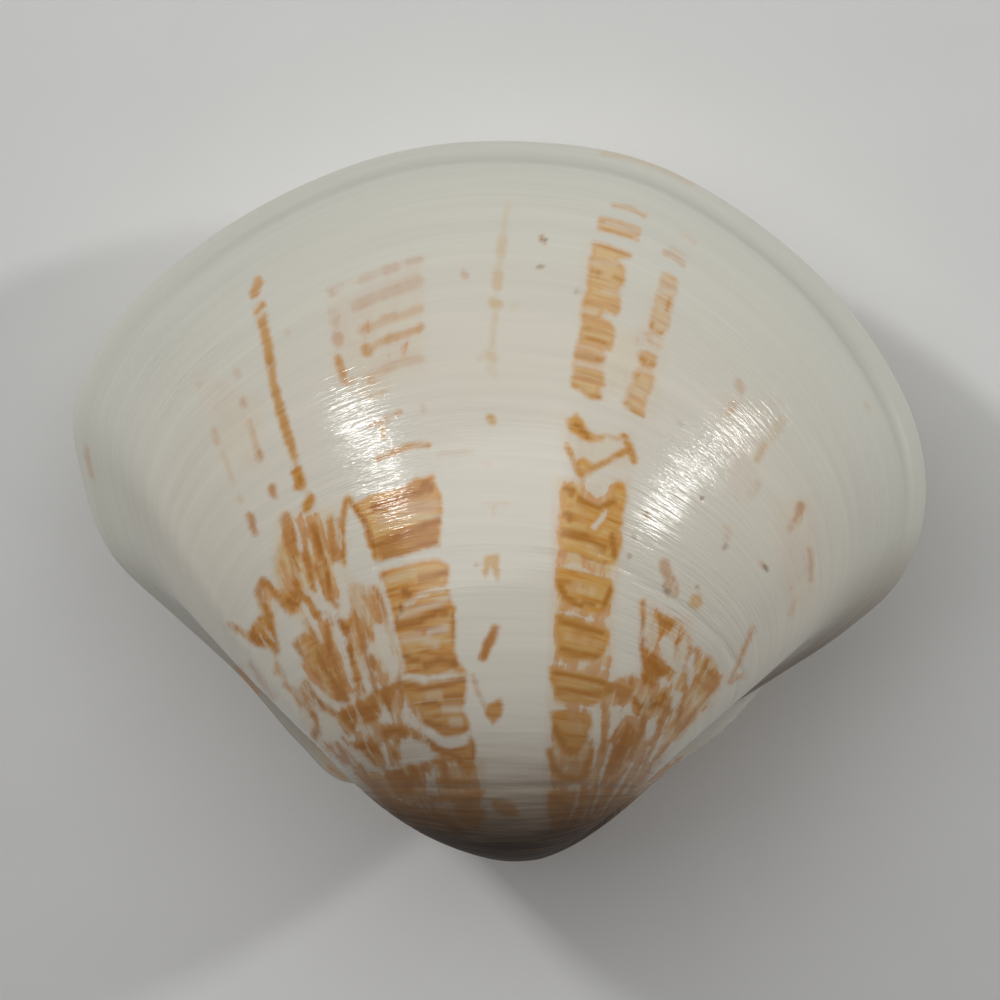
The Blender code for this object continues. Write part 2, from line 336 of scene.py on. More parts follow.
def surface_normals(grid):
    along = np.roll(grid, -1, axis=1) - np.roll(grid, 1, axis=1)
    across = np.gradient(grid, axis=0)
    normal = np.cross(across, along)
    return normal / np.linalg.norm(normal, axis=-1, keepdims=True)


def wander(count, seed, waves, roughness):
    """A smooth closed random line round the valve, between about -1 and 1."""
    chance = np.random.default_rng(seed)
    turn = np.linspace(0, 2 * math.pi, count, endpoint=False)
    line = np.zeros(count)
    for wave in range(1, waves + 1):
        line += chance.normal() * wave**-roughness * np.cos(wave * turn + chance.uniform(0, 2 * math.pi))
    return line / np.abs(line).max()


def groove_share(columns):
    """How strong the rim groove is round the valve: clear along the lower edge, faint near the hinge."""
    turn = np.linspace(0, 2 * math.pi, columns, endpoint=False)
    return np.interp(turn, *GROOVE_COURSE)


def outside_relief(ages, columns, seed):
    """Height of the outside over the plain coil, in millimetres: rim groove, rests and growth folds."""
    chance = np.random.default_rng(seed)
    relief = np.zeros((len(ages), columns))
    centre, depth, half = RIM_GROOVE
    drift = RIM_GROOVE_DRIFT * wander(columns, seed, waves=5, roughness=0.8)
    depth = depth * groove_share(columns)
    relief -= depth * np.exp(-(((ages[:, None] - centre - drift) / half) ** 2))
    for centre, depth, half in GROWTH_RESTS:
        drift = REST_DRIFT * half * wander(columns, chance.integers(1000), waves=6, roughness=0.7)
        away = (ages[:, None] - centre - drift) / half
        strength = 0.8 + 0.2 * wander(columns, chance.integers(1000), waves=5, roughness=0.6)
        bank = REST_BANK * np.exp(-((away + REST_BANK_PLACE) ** 2))
        relief -= depth * strength * (np.exp(-(away**2)) - bank)
    distance = growth_distance(ages)
    for _ in range(FOLDS):
        spot = chance.uniform(FIRST_FOLD, distance[-1])
        width = chance.uniform(*FOLD_WIDTHS)
        strength = 0.5 + 0.5 * wander(columns, chance.integers(1000), waves=4, roughness=0.5)
        amount = chance.normal() * FOLD_HEIGHT
        relief += amount * strength * np.exp(-(((distance[:, None] - spot) / width) ** 2))
    return relief


def swelling(grid):
    out = np.array(SWELLING_DIRECTION)
    away = grid[..., :2] - np.array(SWELLING_CENTRE)
    across = away @ out
    along = away @ np.array([-out[1], out[0]])
    rise = 1 - np.exp(-((grid[..., 2] / SWELLING_RISE) ** 2))
    amount = SWELLING * rise * np.exp(-((along / SWELLING_LENGTH) ** 2) - (across / SWELLING_WIDTH) ** 2)
    return np.concatenate([amount[..., None] * out, np.zeros_like(amount)[..., None]], axis=-1)


def shrunk_ring(edge, age, wall, share):
    """A growth line drawn in by the wall toward its middle, then shrunk to a share of itself."""
    length, height, lean, turn = growth(age)
    loop = edge * np.array([length, height])
    middle = np.array([0.0, RING_MIDDLE * height])
    out = loop - middle
    kept = share * (1 - wall / np.linalg.norm(out, axis=1))
    loop = middle + out * kept[:, None]
    return np.stack(
        [loop[:, 0] + lean, loop[:, 1] * math.cos(turn), loop[:, 1] * math.sin(turn)], axis=1
    )


def outer_grid(edge, ages, swollen, seed):
    grid = on_growth_lines(edge, ages)
    normals = surface_normals(grid)
    fade = np.clip(np.linalg.norm(grid[..., 1:], axis=-1) / LEDGE_FADE, 0, 1) ** 2
    relief = outside_relief(ages, len(edge), seed) * fade
    grid = grid + normals * relief[..., None]
    middle = np.array([0.0, RING_MIDDLE, 0.0])
    inward = middle - grid[0]
    inward /= np.linalg.norm(inward, axis=-1, keepdims=True)
    rounding = LIP_ROUNDING * np.exp(-grid[..., 2:] / (LIP_HEIGHT * 0.5)) * fade[..., None]
    grid = grid + inward[None] * rounding
    if swollen:
        grid = grid + swelling(grid)
    return grid


def ligament_axes():
    """Middle, half length, axis and side of the ligament in the plane where the valves meet."""
    back, front = np.array(LIGAMENT_BACK), np.array(LIGAMENT_FRONT)
    length = np.linalg.norm(front - back)
    axis = (front - back) / length
    return (back + front) / 2, length / 2, axis, np.array([-axis[1], axis[0]])


def ligament_hollow(points):
    """Pushes points out of the space that the ligament takes."""
    middle, half_length, axis, side = ligament_axes()
    away = points[..., :2] - middle
    sizes = np.array([half_length, LIGAMENT_HALF_WIDTH, LIGAMENT_HALF_HEIGHT]) + LIGAMENT_CLEARANCE
    local = np.stack([away @ axis, away @ side, points[..., 2]], axis=-1) / sizes
    depth = np.linalg.norm(local, axis=-1, keepdims=True)
    local = np.where(depth < 1, local / np.maximum(depth, 1e-6), local) * sizes
    flat = middle + local[..., :1] * axis + local[..., 1:2] * side
    return np.concatenate([flat, local[..., 2:]], axis=-1)


def to_row_frame(points):
    """Shell millimetres to row-frame metres, in the rest pose."""
    return (points @ REST_TURN.T + np.array(HINGE_PLACE)) * MM


def camera_axes():
    """Right, up and back of the photograph's camera, as rows on the shell axes."""
    cp, sp = math.cos(VIEW_PITCH), math.sin(VIEW_PITCH)
    cr, sr = math.cos(VIEW_ROLL), math.sin(VIEW_ROLL)
    return np.array([[cr, -sp * sr, cp * sr], [0.0, cp, sp], [-sr, -sp * cr, cp * cr]])


def on_picture(points):
    """The photograph's pixels of points in shell millimetres."""
    right, up, near = np.moveaxis(points @ camera_axes().T, -1, 0)
    grow = VIEW_DISTANCE / (VIEW_DISTANCE - near)
    px = HINGE_PIXEL[0] + right * grow / MM_PER_PIXEL
    py = HINGE_PIXEL[1] - (VIEW_CENTRE_Y + (up - VIEW_CENTRE_Y) * grow) / MM_PER_PIXEL
    return np.stack([px, py], axis=-1)


# How far a mark's hue leans from the orange brown to yellow, below zero, or to pink, above it
GOLD, YELLOW, ORANGE, PINK = -1.6, -1.0, 0.0, 1.0
BLOCK_HUE, LEFT_NET_HUE, RIGHT_NET_HUE = -0.3, 0.5, 0.3


def patch(strength, *points, hue=ORANGE):
    return ("patch", strength, hue, 0.0, points)


def line(strength, half_width, *points, hue=ORANGE):
    return ("line", strength, hue, half_width, points)


def clear(half_width, *points):
    return ("clear", 0.0, ORANGE, half_width, points)


def wash(strength, *points, hue=ORANGE):
    return ("wash", strength, hue, 0.0, points)


def speck(half_width, *points):
    return ("speck", 1.0, ORANGE, half_width, points)


def bare(*points):
    return ("bare", 0.0, ORANGE, 0.0, points)


def ridge(strength, half_width, *points):
    return ("ridge", strength, ORANGE, half_width, points)


def fade(share, half_width, *points):
    return ("fade", share, ORANGE, half_width, points)


def warm(half_width, *points):
    return ("warm", 1.0, ORANGE, half_width, points)


def deep(half_width, *points, share=1.0):
    return ("deep", share, ORANGE, half_width, points)


# The marks of the left valve as the photograph shows them, placed by its pixels, group by group
LEFT_RAY = [
    line(0.85, 4.6, (259, 281), (256, 288), (254, 295)),
    line(0.95, 3.2, (264, 304), (260, 308), (256, 312)),
    line(0.9, 2.0, (266, 315), (258, 321)),
    line(0.9, 5.2, (262, 322), (268, 345), (270, 362)),
    line(0.85, 4.4, (272, 370), (274, 385), (277, 397)),
    line(0.9, 5.0, (278, 401), (281, 413), (286, 430), (290, 442)),
    line(0.9, 4.2, (292, 449), (294, 456)),
    line(0.6, 2.0, (295, 458), (297, 468)),
    line(1.0, 6.0, (298, 473), (300, 486)),
    deep(3.5, (300, 480)),
    deep(2.0, (268, 358), (270, 366)),
    deep(1.6, (260, 308), (264, 304)),
    line(0.85, 4.2, (272, 488), (273, 494), hue=PINK),
    line(1.0, 4.6, (311, 498), (307, 509)),
    line(0.85, 3.8, (250, 516), (255, 533), hue=PINK),
    line(0.3, 2.4, (199, 384), (200, 386), hue=PINK),
    line(0.25, 3.5, (237, 372), (238, 376), hue=PINK),
    line(0.45, 3.2, (243, 399), (244, 404), hue=PINK),
    line(0.45, 2.4, (214, 431), (217, 443)),
    line(0.45, 2.4, (250, 422), (254, 437), (257, 448)),
    line(0.85, 3.6, (259, 452), (259, 458), hue=PINK),
    line(0.28, 1.8, (222, 452), (228, 466), (234, 484), hue=YELLOW),
    line(0.28, 2.4, (239, 497), (242, 501), hue=YELLOW),
    line(0.2, 3.0, (287, 331), (288, 335)),
]
LEFT_COMB = [
    line(0.24, 2.8, (334, 290), (343, 285), (354, 281), (380, 272), (402, 264), (421, 259), hue=PINK),
    line(0.40, 3.8, (331, 291), (332, 294), hue=PINK),
    line(0.34, 3.8, (358, 281), (371, 277), hue=PINK),
    line(0.38, 3.6, (384, 271), (397, 266), hue=PINK),
    line(0.32, 3.2, (408, 262), (421, 259), hue=PINK),
    line(0.26, 5.6, (356, 306), (372, 299), (388, 292), (405, 286), (419, 281), hue=PINK),
    line(0.38, 5.0, (361, 305), (367, 302)),
    line(0.36, 5.2, (384, 294), (398, 288), hue=PINK),
    line(0.32, 4.6, (334, 312), (335, 321), hue=PINK),
    line(0.36, 4.2, (362, 332), (372, 327), (388, 320), (404, 315), (421, 308)),
    line(0.50, 5.0, (364, 330), (369, 328)),
    line(0.48, 4.8, (385, 320), (396, 317)),
    line(0.46, 3.8, (414, 311), (420, 309)),
    line(0.45, 5.0, (337, 336), (339, 342), hue=PINK),
    line(0.60, 3.2, (366, 349), (378, 343), (390, 339), (404, 335), (422, 328)),
    line(0.74, 5.4, (366, 348), (368, 353)),
    line(0.70, 4.2, (386, 340), (396, 337)),
    line(0.66, 3.6, (418, 331), (421, 328)),
    line(0.8, 4.0, (338, 358), (341, 368), (344, 380)),
    line(0.5, 1.8, (346, 384), (354, 380)),
    line(0.26, 4.2, (366, 378), (376, 374), (390, 367), (404, 361), (420, 358)),
    line(0.34, 4.6, (384, 370), (396, 364)),
    line(0.55, 4.6, (369, 378), (371, 380)),
    line(0.42, 1.8, (364, 393), (374, 400), (385, 392), hue=YELLOW),
    line(0.4, 3.6, (463, 272), (466, 276), hue=PINK),
    line(0.85, 2.8, (370, 426), (385, 420), (400, 412), hue=PINK),
    line(0.7, 2.6, (382, 424), (384, 438), hue=YELLOW),
    line(0.9, 3.2, (378, 458), (395, 452), (408, 446), (429, 445)),
    line(0.22, 3.0, (423, 406), (424, 411), hue=PINK),
    line(0.15, 3.0, (440, 455), (470, 452), hue=PINK),
]
LEFT_BLOCKS = [
    patch(0.95, (351, 504), (372, 494), (392, 490), (408, 486), (415, 478), (425, 477), (434, 473),
          (437, 486), (441, 494), (443, 512), (441, 535), (439, 546), (424, 549), (402, 556), (386, 560),
          (379, 562), (374, 550), (367, 530), (359, 514)),
    fade(0.72, 8.0, (432, 505), (408, 512), (385, 520)),
    line(1.0, 3.2, (347, 498), (344, 512), (342, 530), (342, 548), (344, 563)),
    line(1.0, 3.4, (348, 498), (356, 508), (364, 522), (370, 540), (377, 558)),
    deep(4.2, (374, 507), (395, 500), (415, 494), (430, 486)),
    warm(7.0, (380, 548), (402, 539), (422, 533), (434, 530)),
    warm(6.5, (382, 508), (404, 499), (426, 490)),
    deep(8.0, (384, 548), (404, 540), (432, 532), share=0.7),
    deep(6.0, (390, 504), (420, 490), share=0.7),
    deep(4.2, (376, 546), (400, 536), (420, 528), (439, 520)),
    deep(2.6, (384, 557), (405, 551), (437, 541)),
    deep(2.6, (350, 502), (364, 520), (374, 546)),
    deep(5.0, (426, 484), (430, 488)),
    patch(0.95, (379, 573), (400, 566), (424, 560), (440, 559), (449, 566), (449, 588), (450, 600),
          (455, 607), (456, 625), (455, 640), (454, 652), (460, 663), (467, 673), (452, 671), (430, 676),
          (404, 673), (398, 652), (394, 636), (390, 620), (393, 612), (389, 600), (384, 586)),
    clear(2.2, (418, 596), (430, 592), (450, 588)),
    clear(2.6, (406, 604), (413, 602)),
    fade(0.45, 3.0, (400, 615), (415, 611), (430, 606), (446, 600)),
    fade(0.35, 3.6, (430, 632), (446, 628)),
    fade(0.6, 4.5, (404, 640), (420, 637), (436, 644)),
    fade(0.7, 4.0, (388, 580), (400, 576), (412, 572)),
    deep(4.6, (405, 592), (408, 595)),
    deep(3.0, (420, 579), (436, 576), (446, 572)),
    deep(3.6, (396, 626), (420, 621), (437, 612), (446, 612)),
    deep(4.4, (426, 665), (440, 660), (455, 663)),
    deep(3.2, (404, 657), (418, 661)),
    deep(1.6, (453, 612), (454, 640)),
    patch(0.95, (392, 682), (410, 679), (424, 683), (440, 680), (455, 677), (466, 676), (466, 690),
          (466, 700), (463, 704), (465, 714), (470, 722), (468, 733), (455, 737), (443, 737), (432, 729),
          (423, 724), (418, 712), (411, 700), (402, 690)),
    clear(2.2, (430, 679), (447, 674)),
    fade(0.4, 3.0, (444, 709), (464, 709)),
    fade(0.55, 3.4, (452, 722), (460, 722)),
    fade(0.65, 3.0, (428, 696), (440, 694)),
    deep(2.8, (400, 684), (424, 689), (445, 685), (464, 680)),
    deep(3.0, (424, 704), (435, 702)),
    deep(3.2, (426, 723), (440, 727)),
    deep(1.8, (440, 733), (466, 730)),
    deep(3.0, (446, 698), (462, 697)),
    patch(0.95, (420, 732), (430, 738), (438, 744), (444, 748), (458, 748), (468, 744), (470, 735),
          (475, 740), (476, 755), (474, 768), (470, 780), (465, 772), (455, 762), (446, 764), (430, 767),
          (428, 762), (441, 756), (432, 752), (427, 744)),
    deep(2.8, (428, 742), (440, 750), (455, 756), (461, 760)),
    deep(1.6, (473, 745), (474, 765)),
    patch(0.85, (436, 778), (446, 776), (456, 779), (470, 780), (474, 784), (462, 787), (446, 787),
          (438, 783)),
    patch(0.9, (440, 795), (455, 796), (472, 792), (484, 790), (484, 797), (470, 801), (452, 802),
          (440, 801)),
    patch(0.8, (456, 806), (470, 804), (484, 808), (486, 818), (478, 826), (462, 824)),
    patch(0.75, (489, 800), (500, 798), (514, 804), (520, 816), (508, 818), (496, 812)),
]
LEFT_NET = [
    line(0.75, 4.8, (286, 517), (288, 535), (291, 556)),
    line(1.0, 4.0, (293, 530), (295, 560), (298, 585), (302, 600)),
    line(0.4, 3.0, (280, 545), (282, 566), hue=YELLOW),
    line(0.35, 3.0, (276, 560), (280, 580), (284, 592), hue=YELLOW),
    line(1.0, 5.4, (314, 527), (317, 540), (321, 556)),
    deep(3.6, (315, 532), (321, 552)),
    line(0.85, 3.8, (330, 519), (332, 535), (333, 560)),
    line(0.6, 4.5, (325, 536), (327, 556)),
    line(0.5, 3.0, (307, 530), (306, 545)),
    line(1.0, 3.6, (305, 553), (309, 568), (314, 588)),
    line(1.0, 4.4, (326, 560), (328, 580), (330, 597)),
    deep(3.0, (328, 572), (329, 590)),
    line(0.9, 3.0, (316, 566), (322, 580), (328, 596), (337, 607)),
    deep(2.2, (332, 601), (337, 604)),
    line(1.0, 3.8, (300, 592), (307, 598), (313, 608), (318, 616)),
    patch(1.0, (274, 594), (290, 591), (302, 588), (304, 603), (298, 613), (290, 616), (285, 607)),
    deep(3.8, (288, 600), (296, 606)),
    line(0.9, 3.0, (264, 581), (270, 587), (278, 597), (286, 608)),
    line(0.85, 4.2, (263, 581), (259, 592), (262, 604)),
    line(1.0, 4.0, (264, 606), (269, 620), (273, 634), (276, 650)),
    patch(1.0, (243, 632), (250, 630), (257, 617), (265, 614), (271, 622), (277, 640), (277, 650),
          (268, 648), (258, 647), (250, 641)),
    deep(3.0, (256, 640), (268, 642)),
    line(0.9, 2.6, (229, 625), (237, 628), (247, 637), (256, 643)),
    patch(0.65, (276, 659), (281, 666), (284, 677), (273, 674)),
    patch(0.9, (292, 644), (300, 636), (306, 630), (313, 636), (320, 641), (325, 634), (327, 618),
          (332, 632), (334, 648), (338, 660), (342, 672), (348, 690), (351, 701), (345, 704), (336, 700),
          (329, 690), (320, 683), (311, 671), (303, 659)),
    fade(0.7, 3.0, (304, 648), (314, 666), (326, 684)),
    deep(3.0, (328, 640), (330, 655)),
    deep(2.4, (318, 652), (330, 676), (342, 694)),
    patch(1.0, (325, 610), (336, 618), (346, 620), (354, 616), (353, 630), (347, 638), (338, 630),
          (330, 621)),
    deep(3.8, (342, 626), (348, 630)),
    patch(1.0, (342, 648), (350, 641), (355, 650), (355, 662), (360, 672), (363, 684), (367, 695),
          (358, 697), (352, 682), (348, 668)),
    deep(4.0, (349, 650), (351, 658)),
    line(0.6, 4.6, (354, 590), (358, 610), (362, 632)),
    line(0.8, 3.2, (362, 632), (366, 646)),
    line(0.95, 3.0, (374, 589), (380, 602), (386, 616), (392, 634)),
    line(0.4, 3.6, (366, 598), (372, 616), (378, 630)),
    line(0.5, 2.6, (362, 650), (368, 668), (376, 688)),
    line(0.9, 4.0, (371, 657), (374, 668)),
    line(0.25, 4.0, (385, 660), (388, 672), hue=PINK),
    line(0.3, 2.4, (352, 540), (356, 552), hue=PINK),
    line(0.95, 2.8, (305, 681), (314, 697), (324, 707), (336, 714)),
    patch(0.85, (292, 692), (300, 686), (308, 694), (318, 707), (310, 708), (304, 703), (300, 712)),
    line(0.95, 4.2, (321, 713), (318, 726), (314, 737)),
    patch(1.0, (336, 717), (348, 706), (362, 700), (374, 692), (379, 705), (385, 717), (376, 722),
          (360, 726), (355, 733), (344, 724)),
    deep(4.5, (346, 716), (360, 712), (374, 708)),
    patch(1.0, (374, 692), (386, 686), (398, 681), (408, 690), (404, 697), (397, 692), (393, 700),
          (391, 714), (385, 705), (380, 697)),
    deep(2.8, (384, 696), (389, 708)),
    line(0.5, 2.4, (398, 694), (402, 708)),
    patch(1.0, (379, 727), (393, 723), (408, 727), (414, 733), (406, 738), (400, 741), (396, 734),
          (390, 739), (386, 742), (381, 735)),
    deep(3.0, (384, 735), (392, 730), (404, 733)),
    patch(1.0, (350, 744), (364, 740), (374, 736), (380, 745), (385, 762), (379, 754), (379, 767),
          (371, 762), (362, 752)),
    deep(4.0, (362, 746), (374, 750)),
    patch(1.0, (389, 749), (397, 750), (399, 759), (393, 758)),
    patch(1.0, (381, 771), (400, 765), (418, 762), (420, 772), (422, 786), (416, 784), (414, 796),
          (407, 794), (399, 797), (392, 790), (386, 779)),
    deep(4.5, (396, 774), (410, 778), (406, 790)),
    patch(0.8, (357, 773), (370, 775), (380, 782), (388, 794), (396, 802), (388, 806), (378, 797),
          (366, 785)),
    patch(0.85, (335, 756), (345, 750), (353, 758), (351, 765), (342, 765)),
    deep(3.0, (345, 757)),
    line(0.5, 2.4, (330, 768), (345, 778)),
    line(0.85, 4.0, (377, 803), (388, 812), (400, 818)),
    line(0.8, 4.0, (400, 806), (414, 812), (428, 816)),
    line(0.8, 3.0, (420, 800), (434, 806)),
]
MIDDLE = [
    line(0.24, 3.0, (508, 205), (505, 222), (503, 236), hue=GOLD),
    line(0.40, 4.8, (503, 240), (501, 254), hue=GOLD),
    line(0.24, 3.0, (501, 256), (499, 268), hue=GOLD),
    line(0.44, 5.2, (498, 273), (497, 286), hue=GOLD),
    line(0.50, 4.8, (493, 303), (498, 305), hue=GOLD),
    line(0.30, 2.8, (496, 310), (494, 330), (492, 348), hue=GOLD),
    line(0.36, 5.0, (489, 354), (494, 359), hue=GOLD),
    line(0.26, 2.4, (478, 359), (486, 358), hue=GOLD),
    line(0.24, 3.4, (489, 368), (495, 374), hue=GOLD),
    line(0.8, 4.0, (490, 418), (493, 421), hue=YELLOW),
    line(0.25, 1.8, (484, 504), (510, 504), hue=YELLOW),
    line(0.25, 1.8, (493, 504), (494, 515), hue=YELLOW),
    line(0.2, 2.4, (482, 463), (490, 465)),
    patch(0.8, (485, 555), (499, 554), (500, 570), (497, 583), (494, 571), (490, 566), (486, 578),
          (483, 570), hue=YELLOW),
    line(1.0, 5.0, (495, 630), (489, 643), (483, 657), hue=PINK),
    deep(2.5, (482, 657), (488, 652)),
    line(0.55, 2.2, (473, 676), (478, 692), (485, 706)),
    patch(0.95, (484, 705), (492, 703), (500, 698), (503, 708), (501, 718), (493, 724), (486, 716)),
    line(0.8, 2.0, (541, 237), (544, 241)),
    deep(2.2, (541, 237), (544, 241)),
    line(0.5, 1.4, (538, 268), (542, 268)),
    line(0.3, 1.8, (577, 290), (577, 293)),
    line(0.15, 2.5, (512, 308), (518, 304), hue=YELLOW),
    line(0.5, 1.2, (475, 565), (478, 566), hue=PINK),
]
RIGHT_BLOCKS = [
    line(0.65, 2.0, (613, 205), (628, 208), (645, 216)),
    patch(0.66, (599, 216), (620, 220), (641, 229), (639, 242), (620, 236), (597, 230)),
    fade(0.45, 1.6, (606, 223), (636, 231)),
    warm(1.6, (600, 227), (614, 232), (632, 238)),
    patch(0.76, (592, 242), (606, 244), (620, 249), (632, 254), (630, 258), (618, 260), (625, 269),
          (627, 277), (625, 285), (618, 289), (621, 298), (620, 312), (617, 316), (604, 311), (602, 318),
          (611, 322), (615, 331), (615, 341), (612, 351), (603, 349), (606, 357), (603, 364), (598, 367),
          (605, 375), (606, 385), (600, 390), (604, 396), (600, 401), (588, 399), (580, 391), (570, 387),
          (572, 378), (573, 366), (575, 352), (578, 338), (582, 322), (580, 312), (584, 300), (587, 285),
          (588, 268), (591, 255)),
    fade(0.6, 3.0, (594, 262), (616, 264)),
    fade(0.6, 3.0, (606, 291), (619, 294)),
    fade(0.3, 1.8, (583, 309), (598, 312)),
    fade(0.4, 1.8, (578, 347), (590, 349), (602, 354)),
    fade(0.3, 2.6, (577, 364), (600, 367)),
    warm(1.6, (595, 245), (612, 249), (630, 255)),
    warm(3.2, (591, 270), (600, 273)),
    warm(3.4, (616, 277), (622, 281)),
    warm(2.0, (586, 303), (600, 307)),
    warm(2.2, (608, 312), (618, 314)),
    warm(1.4, (584, 315), (597, 319)),
    warm(1.8, (584, 328), (606, 332)),
    warm(2.6, (584, 336), (598, 341), (611, 347)),
    warm(1.8, (578, 352), (592, 356), (602, 361)),
    warm(2.8, (578, 371), (590, 374), (602, 380)),
    warm(2.6, (573, 386), (584, 391)),
    warm(3.0, (590, 396), (601, 398)),
    deep(1.6, (590, 339), (606, 344)),
    deep(1.6, (594, 397), (600, 398)),
    line(0.65, 2.2, (664, 251), (673, 256), (684, 264), hue=PINK),
    line(0.3, 2.4, (672, 249), (684, 256), hue=YELLOW),
    line(0.25, 1.6, (681, 233), (695, 243)),
    patch(0.52, (661, 273), (669, 272), (678, 279), (677, 292), (674, 300), (672, 312), (668, 328),
          (663, 337), (652, 334), (649, 326), (652, 310), (655, 298), (659, 286)),
    fade(0.6, 3.0, (658, 291), (674, 292)),
    warm(1.3, (670, 277), (676, 280)),
    warm(2.6, (669, 301), (666, 311)),
    warm(3.0, (660, 333)),
    warm(1.8, (652, 322), (652, 330)),
    line(0.5, 1.8, (645, 334), (652, 342), (660, 347)),
    patch(0.66, (637, 352), (648, 350), (657, 356), (656, 368), (650, 371), (655, 378), (653, 388),
          (648, 396), (646, 408), (645, 419), (633, 413), (621, 402), (629, 395), (626, 388), (634, 382),
          (632, 372), (639, 366)),
    fade(0.5, 2.4, (636, 368), (648, 371)),
    fade(0.7, 2.6, (632, 388), (646, 392)),
    warm(3.2, (642, 357), (646, 364)),
    warm(2.4, (652, 363), (655, 366)),
    warm(3.0, (637, 376)),
    warm(2.6, (624, 403), (634, 411), (643, 417)),
    patch(1.0, (566, 420), (576, 414), (584, 420), (588, 431), (598, 436), (607, 434), (602, 441),
          (588, 442), (577, 437), (570, 430)),
    deep(3.0, (576, 424), (588, 437)),
    line(1.0, 3.6, (623, 437), (630, 447), (634, 461)),
    line(0.95, 3.0, (631, 449), (618, 455), (604, 463), (590, 470)),
    line(1.0, 3.2, (567, 446), (572, 458), (578, 470), (583, 479)),
    patch(1.0, (574, 462), (583, 457), (594, 464), (588, 473), (584, 481), (577, 474)),
    line(0.6, 2.0, (608, 436), (624, 440)),
    line(0.3, 1.8, (589, 486), (592, 487)),
    patch(1.0, (561, 486), (568, 483), (575, 486), (583, 497), (599, 505), (610, 497), (617, 480),
          (625, 484), (627, 500), (623, 515), (620, 532), (621, 548), (616, 565), (604, 564), (588, 558),
          (572, 552), (560, 548), (557, 533), (561, 510)),
    clear(3.4, (594, 527), (602, 519), (606, 513)),
    fade(0.6, 4.0, (576, 507), (586, 516), (578, 526)),
    fade(0.65, 3.5, (584, 545), (600, 553)),
    deep(4.2, (567, 488), (572, 492)),
    deep(3.6, (580, 499), (598, 507), (614, 502)),
    deep(3.8, (567, 514), (570, 518)),
    deep(4.0, (564, 533), (585, 537), (604, 548)),
    deep(3.4, (612, 536), (615, 556)),
    patch(1.0, (557, 567), (566, 561), (576, 568), (590, 573), (602, 577), (613, 581), (614, 591),
          (611, 602), (606, 611), (596, 613), (584, 611), (572, 606), (562, 600), (556, 590)),
    fade(0.35, 4.6, (574, 586), (592, 592)),
    deep(3.4, (560, 585), (566, 598), (580, 606)),
    deep(2.6, (611, 588), (604, 606)),
    deep(2.4, (584, 600), (594, 604)),
    patch(1.0, (556, 617), (565, 608), (574, 612), (582, 620), (594, 625), (608, 628), (610, 635),
          (606, 648), (603, 656), (597, 660), (580, 660), (566, 661), (556, 655), (558, 640), (556, 628)),
    fade(0.4, 2.6, (566, 636), (582, 640), (600, 645)),
    deep(3.2, (560, 620), (580, 629), (602, 632)),
    deep(3.2, (562, 650), (580, 655), (598, 656)),
    patch(1.0, (549, 667), (560, 668), (574, 672), (590, 675), (602, 678), (614, 684), (615, 692),
          (606, 698), (597, 703), (590, 706), (576, 704), (560, 703), (555, 695), (551, 682)),
    fade(0.6, 1.6, (560, 680), (596, 687)),
    deep(2.6, (556, 672), (580, 678), (604, 684)),
    deep(2.8, (558, 690), (580, 692), (600, 694)),
    patch(0.95, (551, 712), (562, 710), (576, 712), (591, 714), (595, 722), (588, 735), (584, 745),
          (577, 755), (570, 758), (562, 752), (556, 742), (552, 728)),
    fade(0.6, 5.0, (572, 718), (578, 728)),
    deep(3.4, (555, 728), (564, 744)),
    line(1.0, 4.0, (550, 752), (554, 768), (562, 777), (578, 779), (586, 775)),
    line(0.95, 3.6, (586, 768), (592, 751)),
    line(0.6, 3.0, (566, 763), (578, 764), hue=YELLOW),
    patch(0.9, (547, 792), (558, 790), (575, 794), (590, 790), (588, 806), (580, 820), (570, 832),
          (556, 832), (549, 815)),
    deep(4.0, (556, 800), (570, 806), (566, 822)),
]
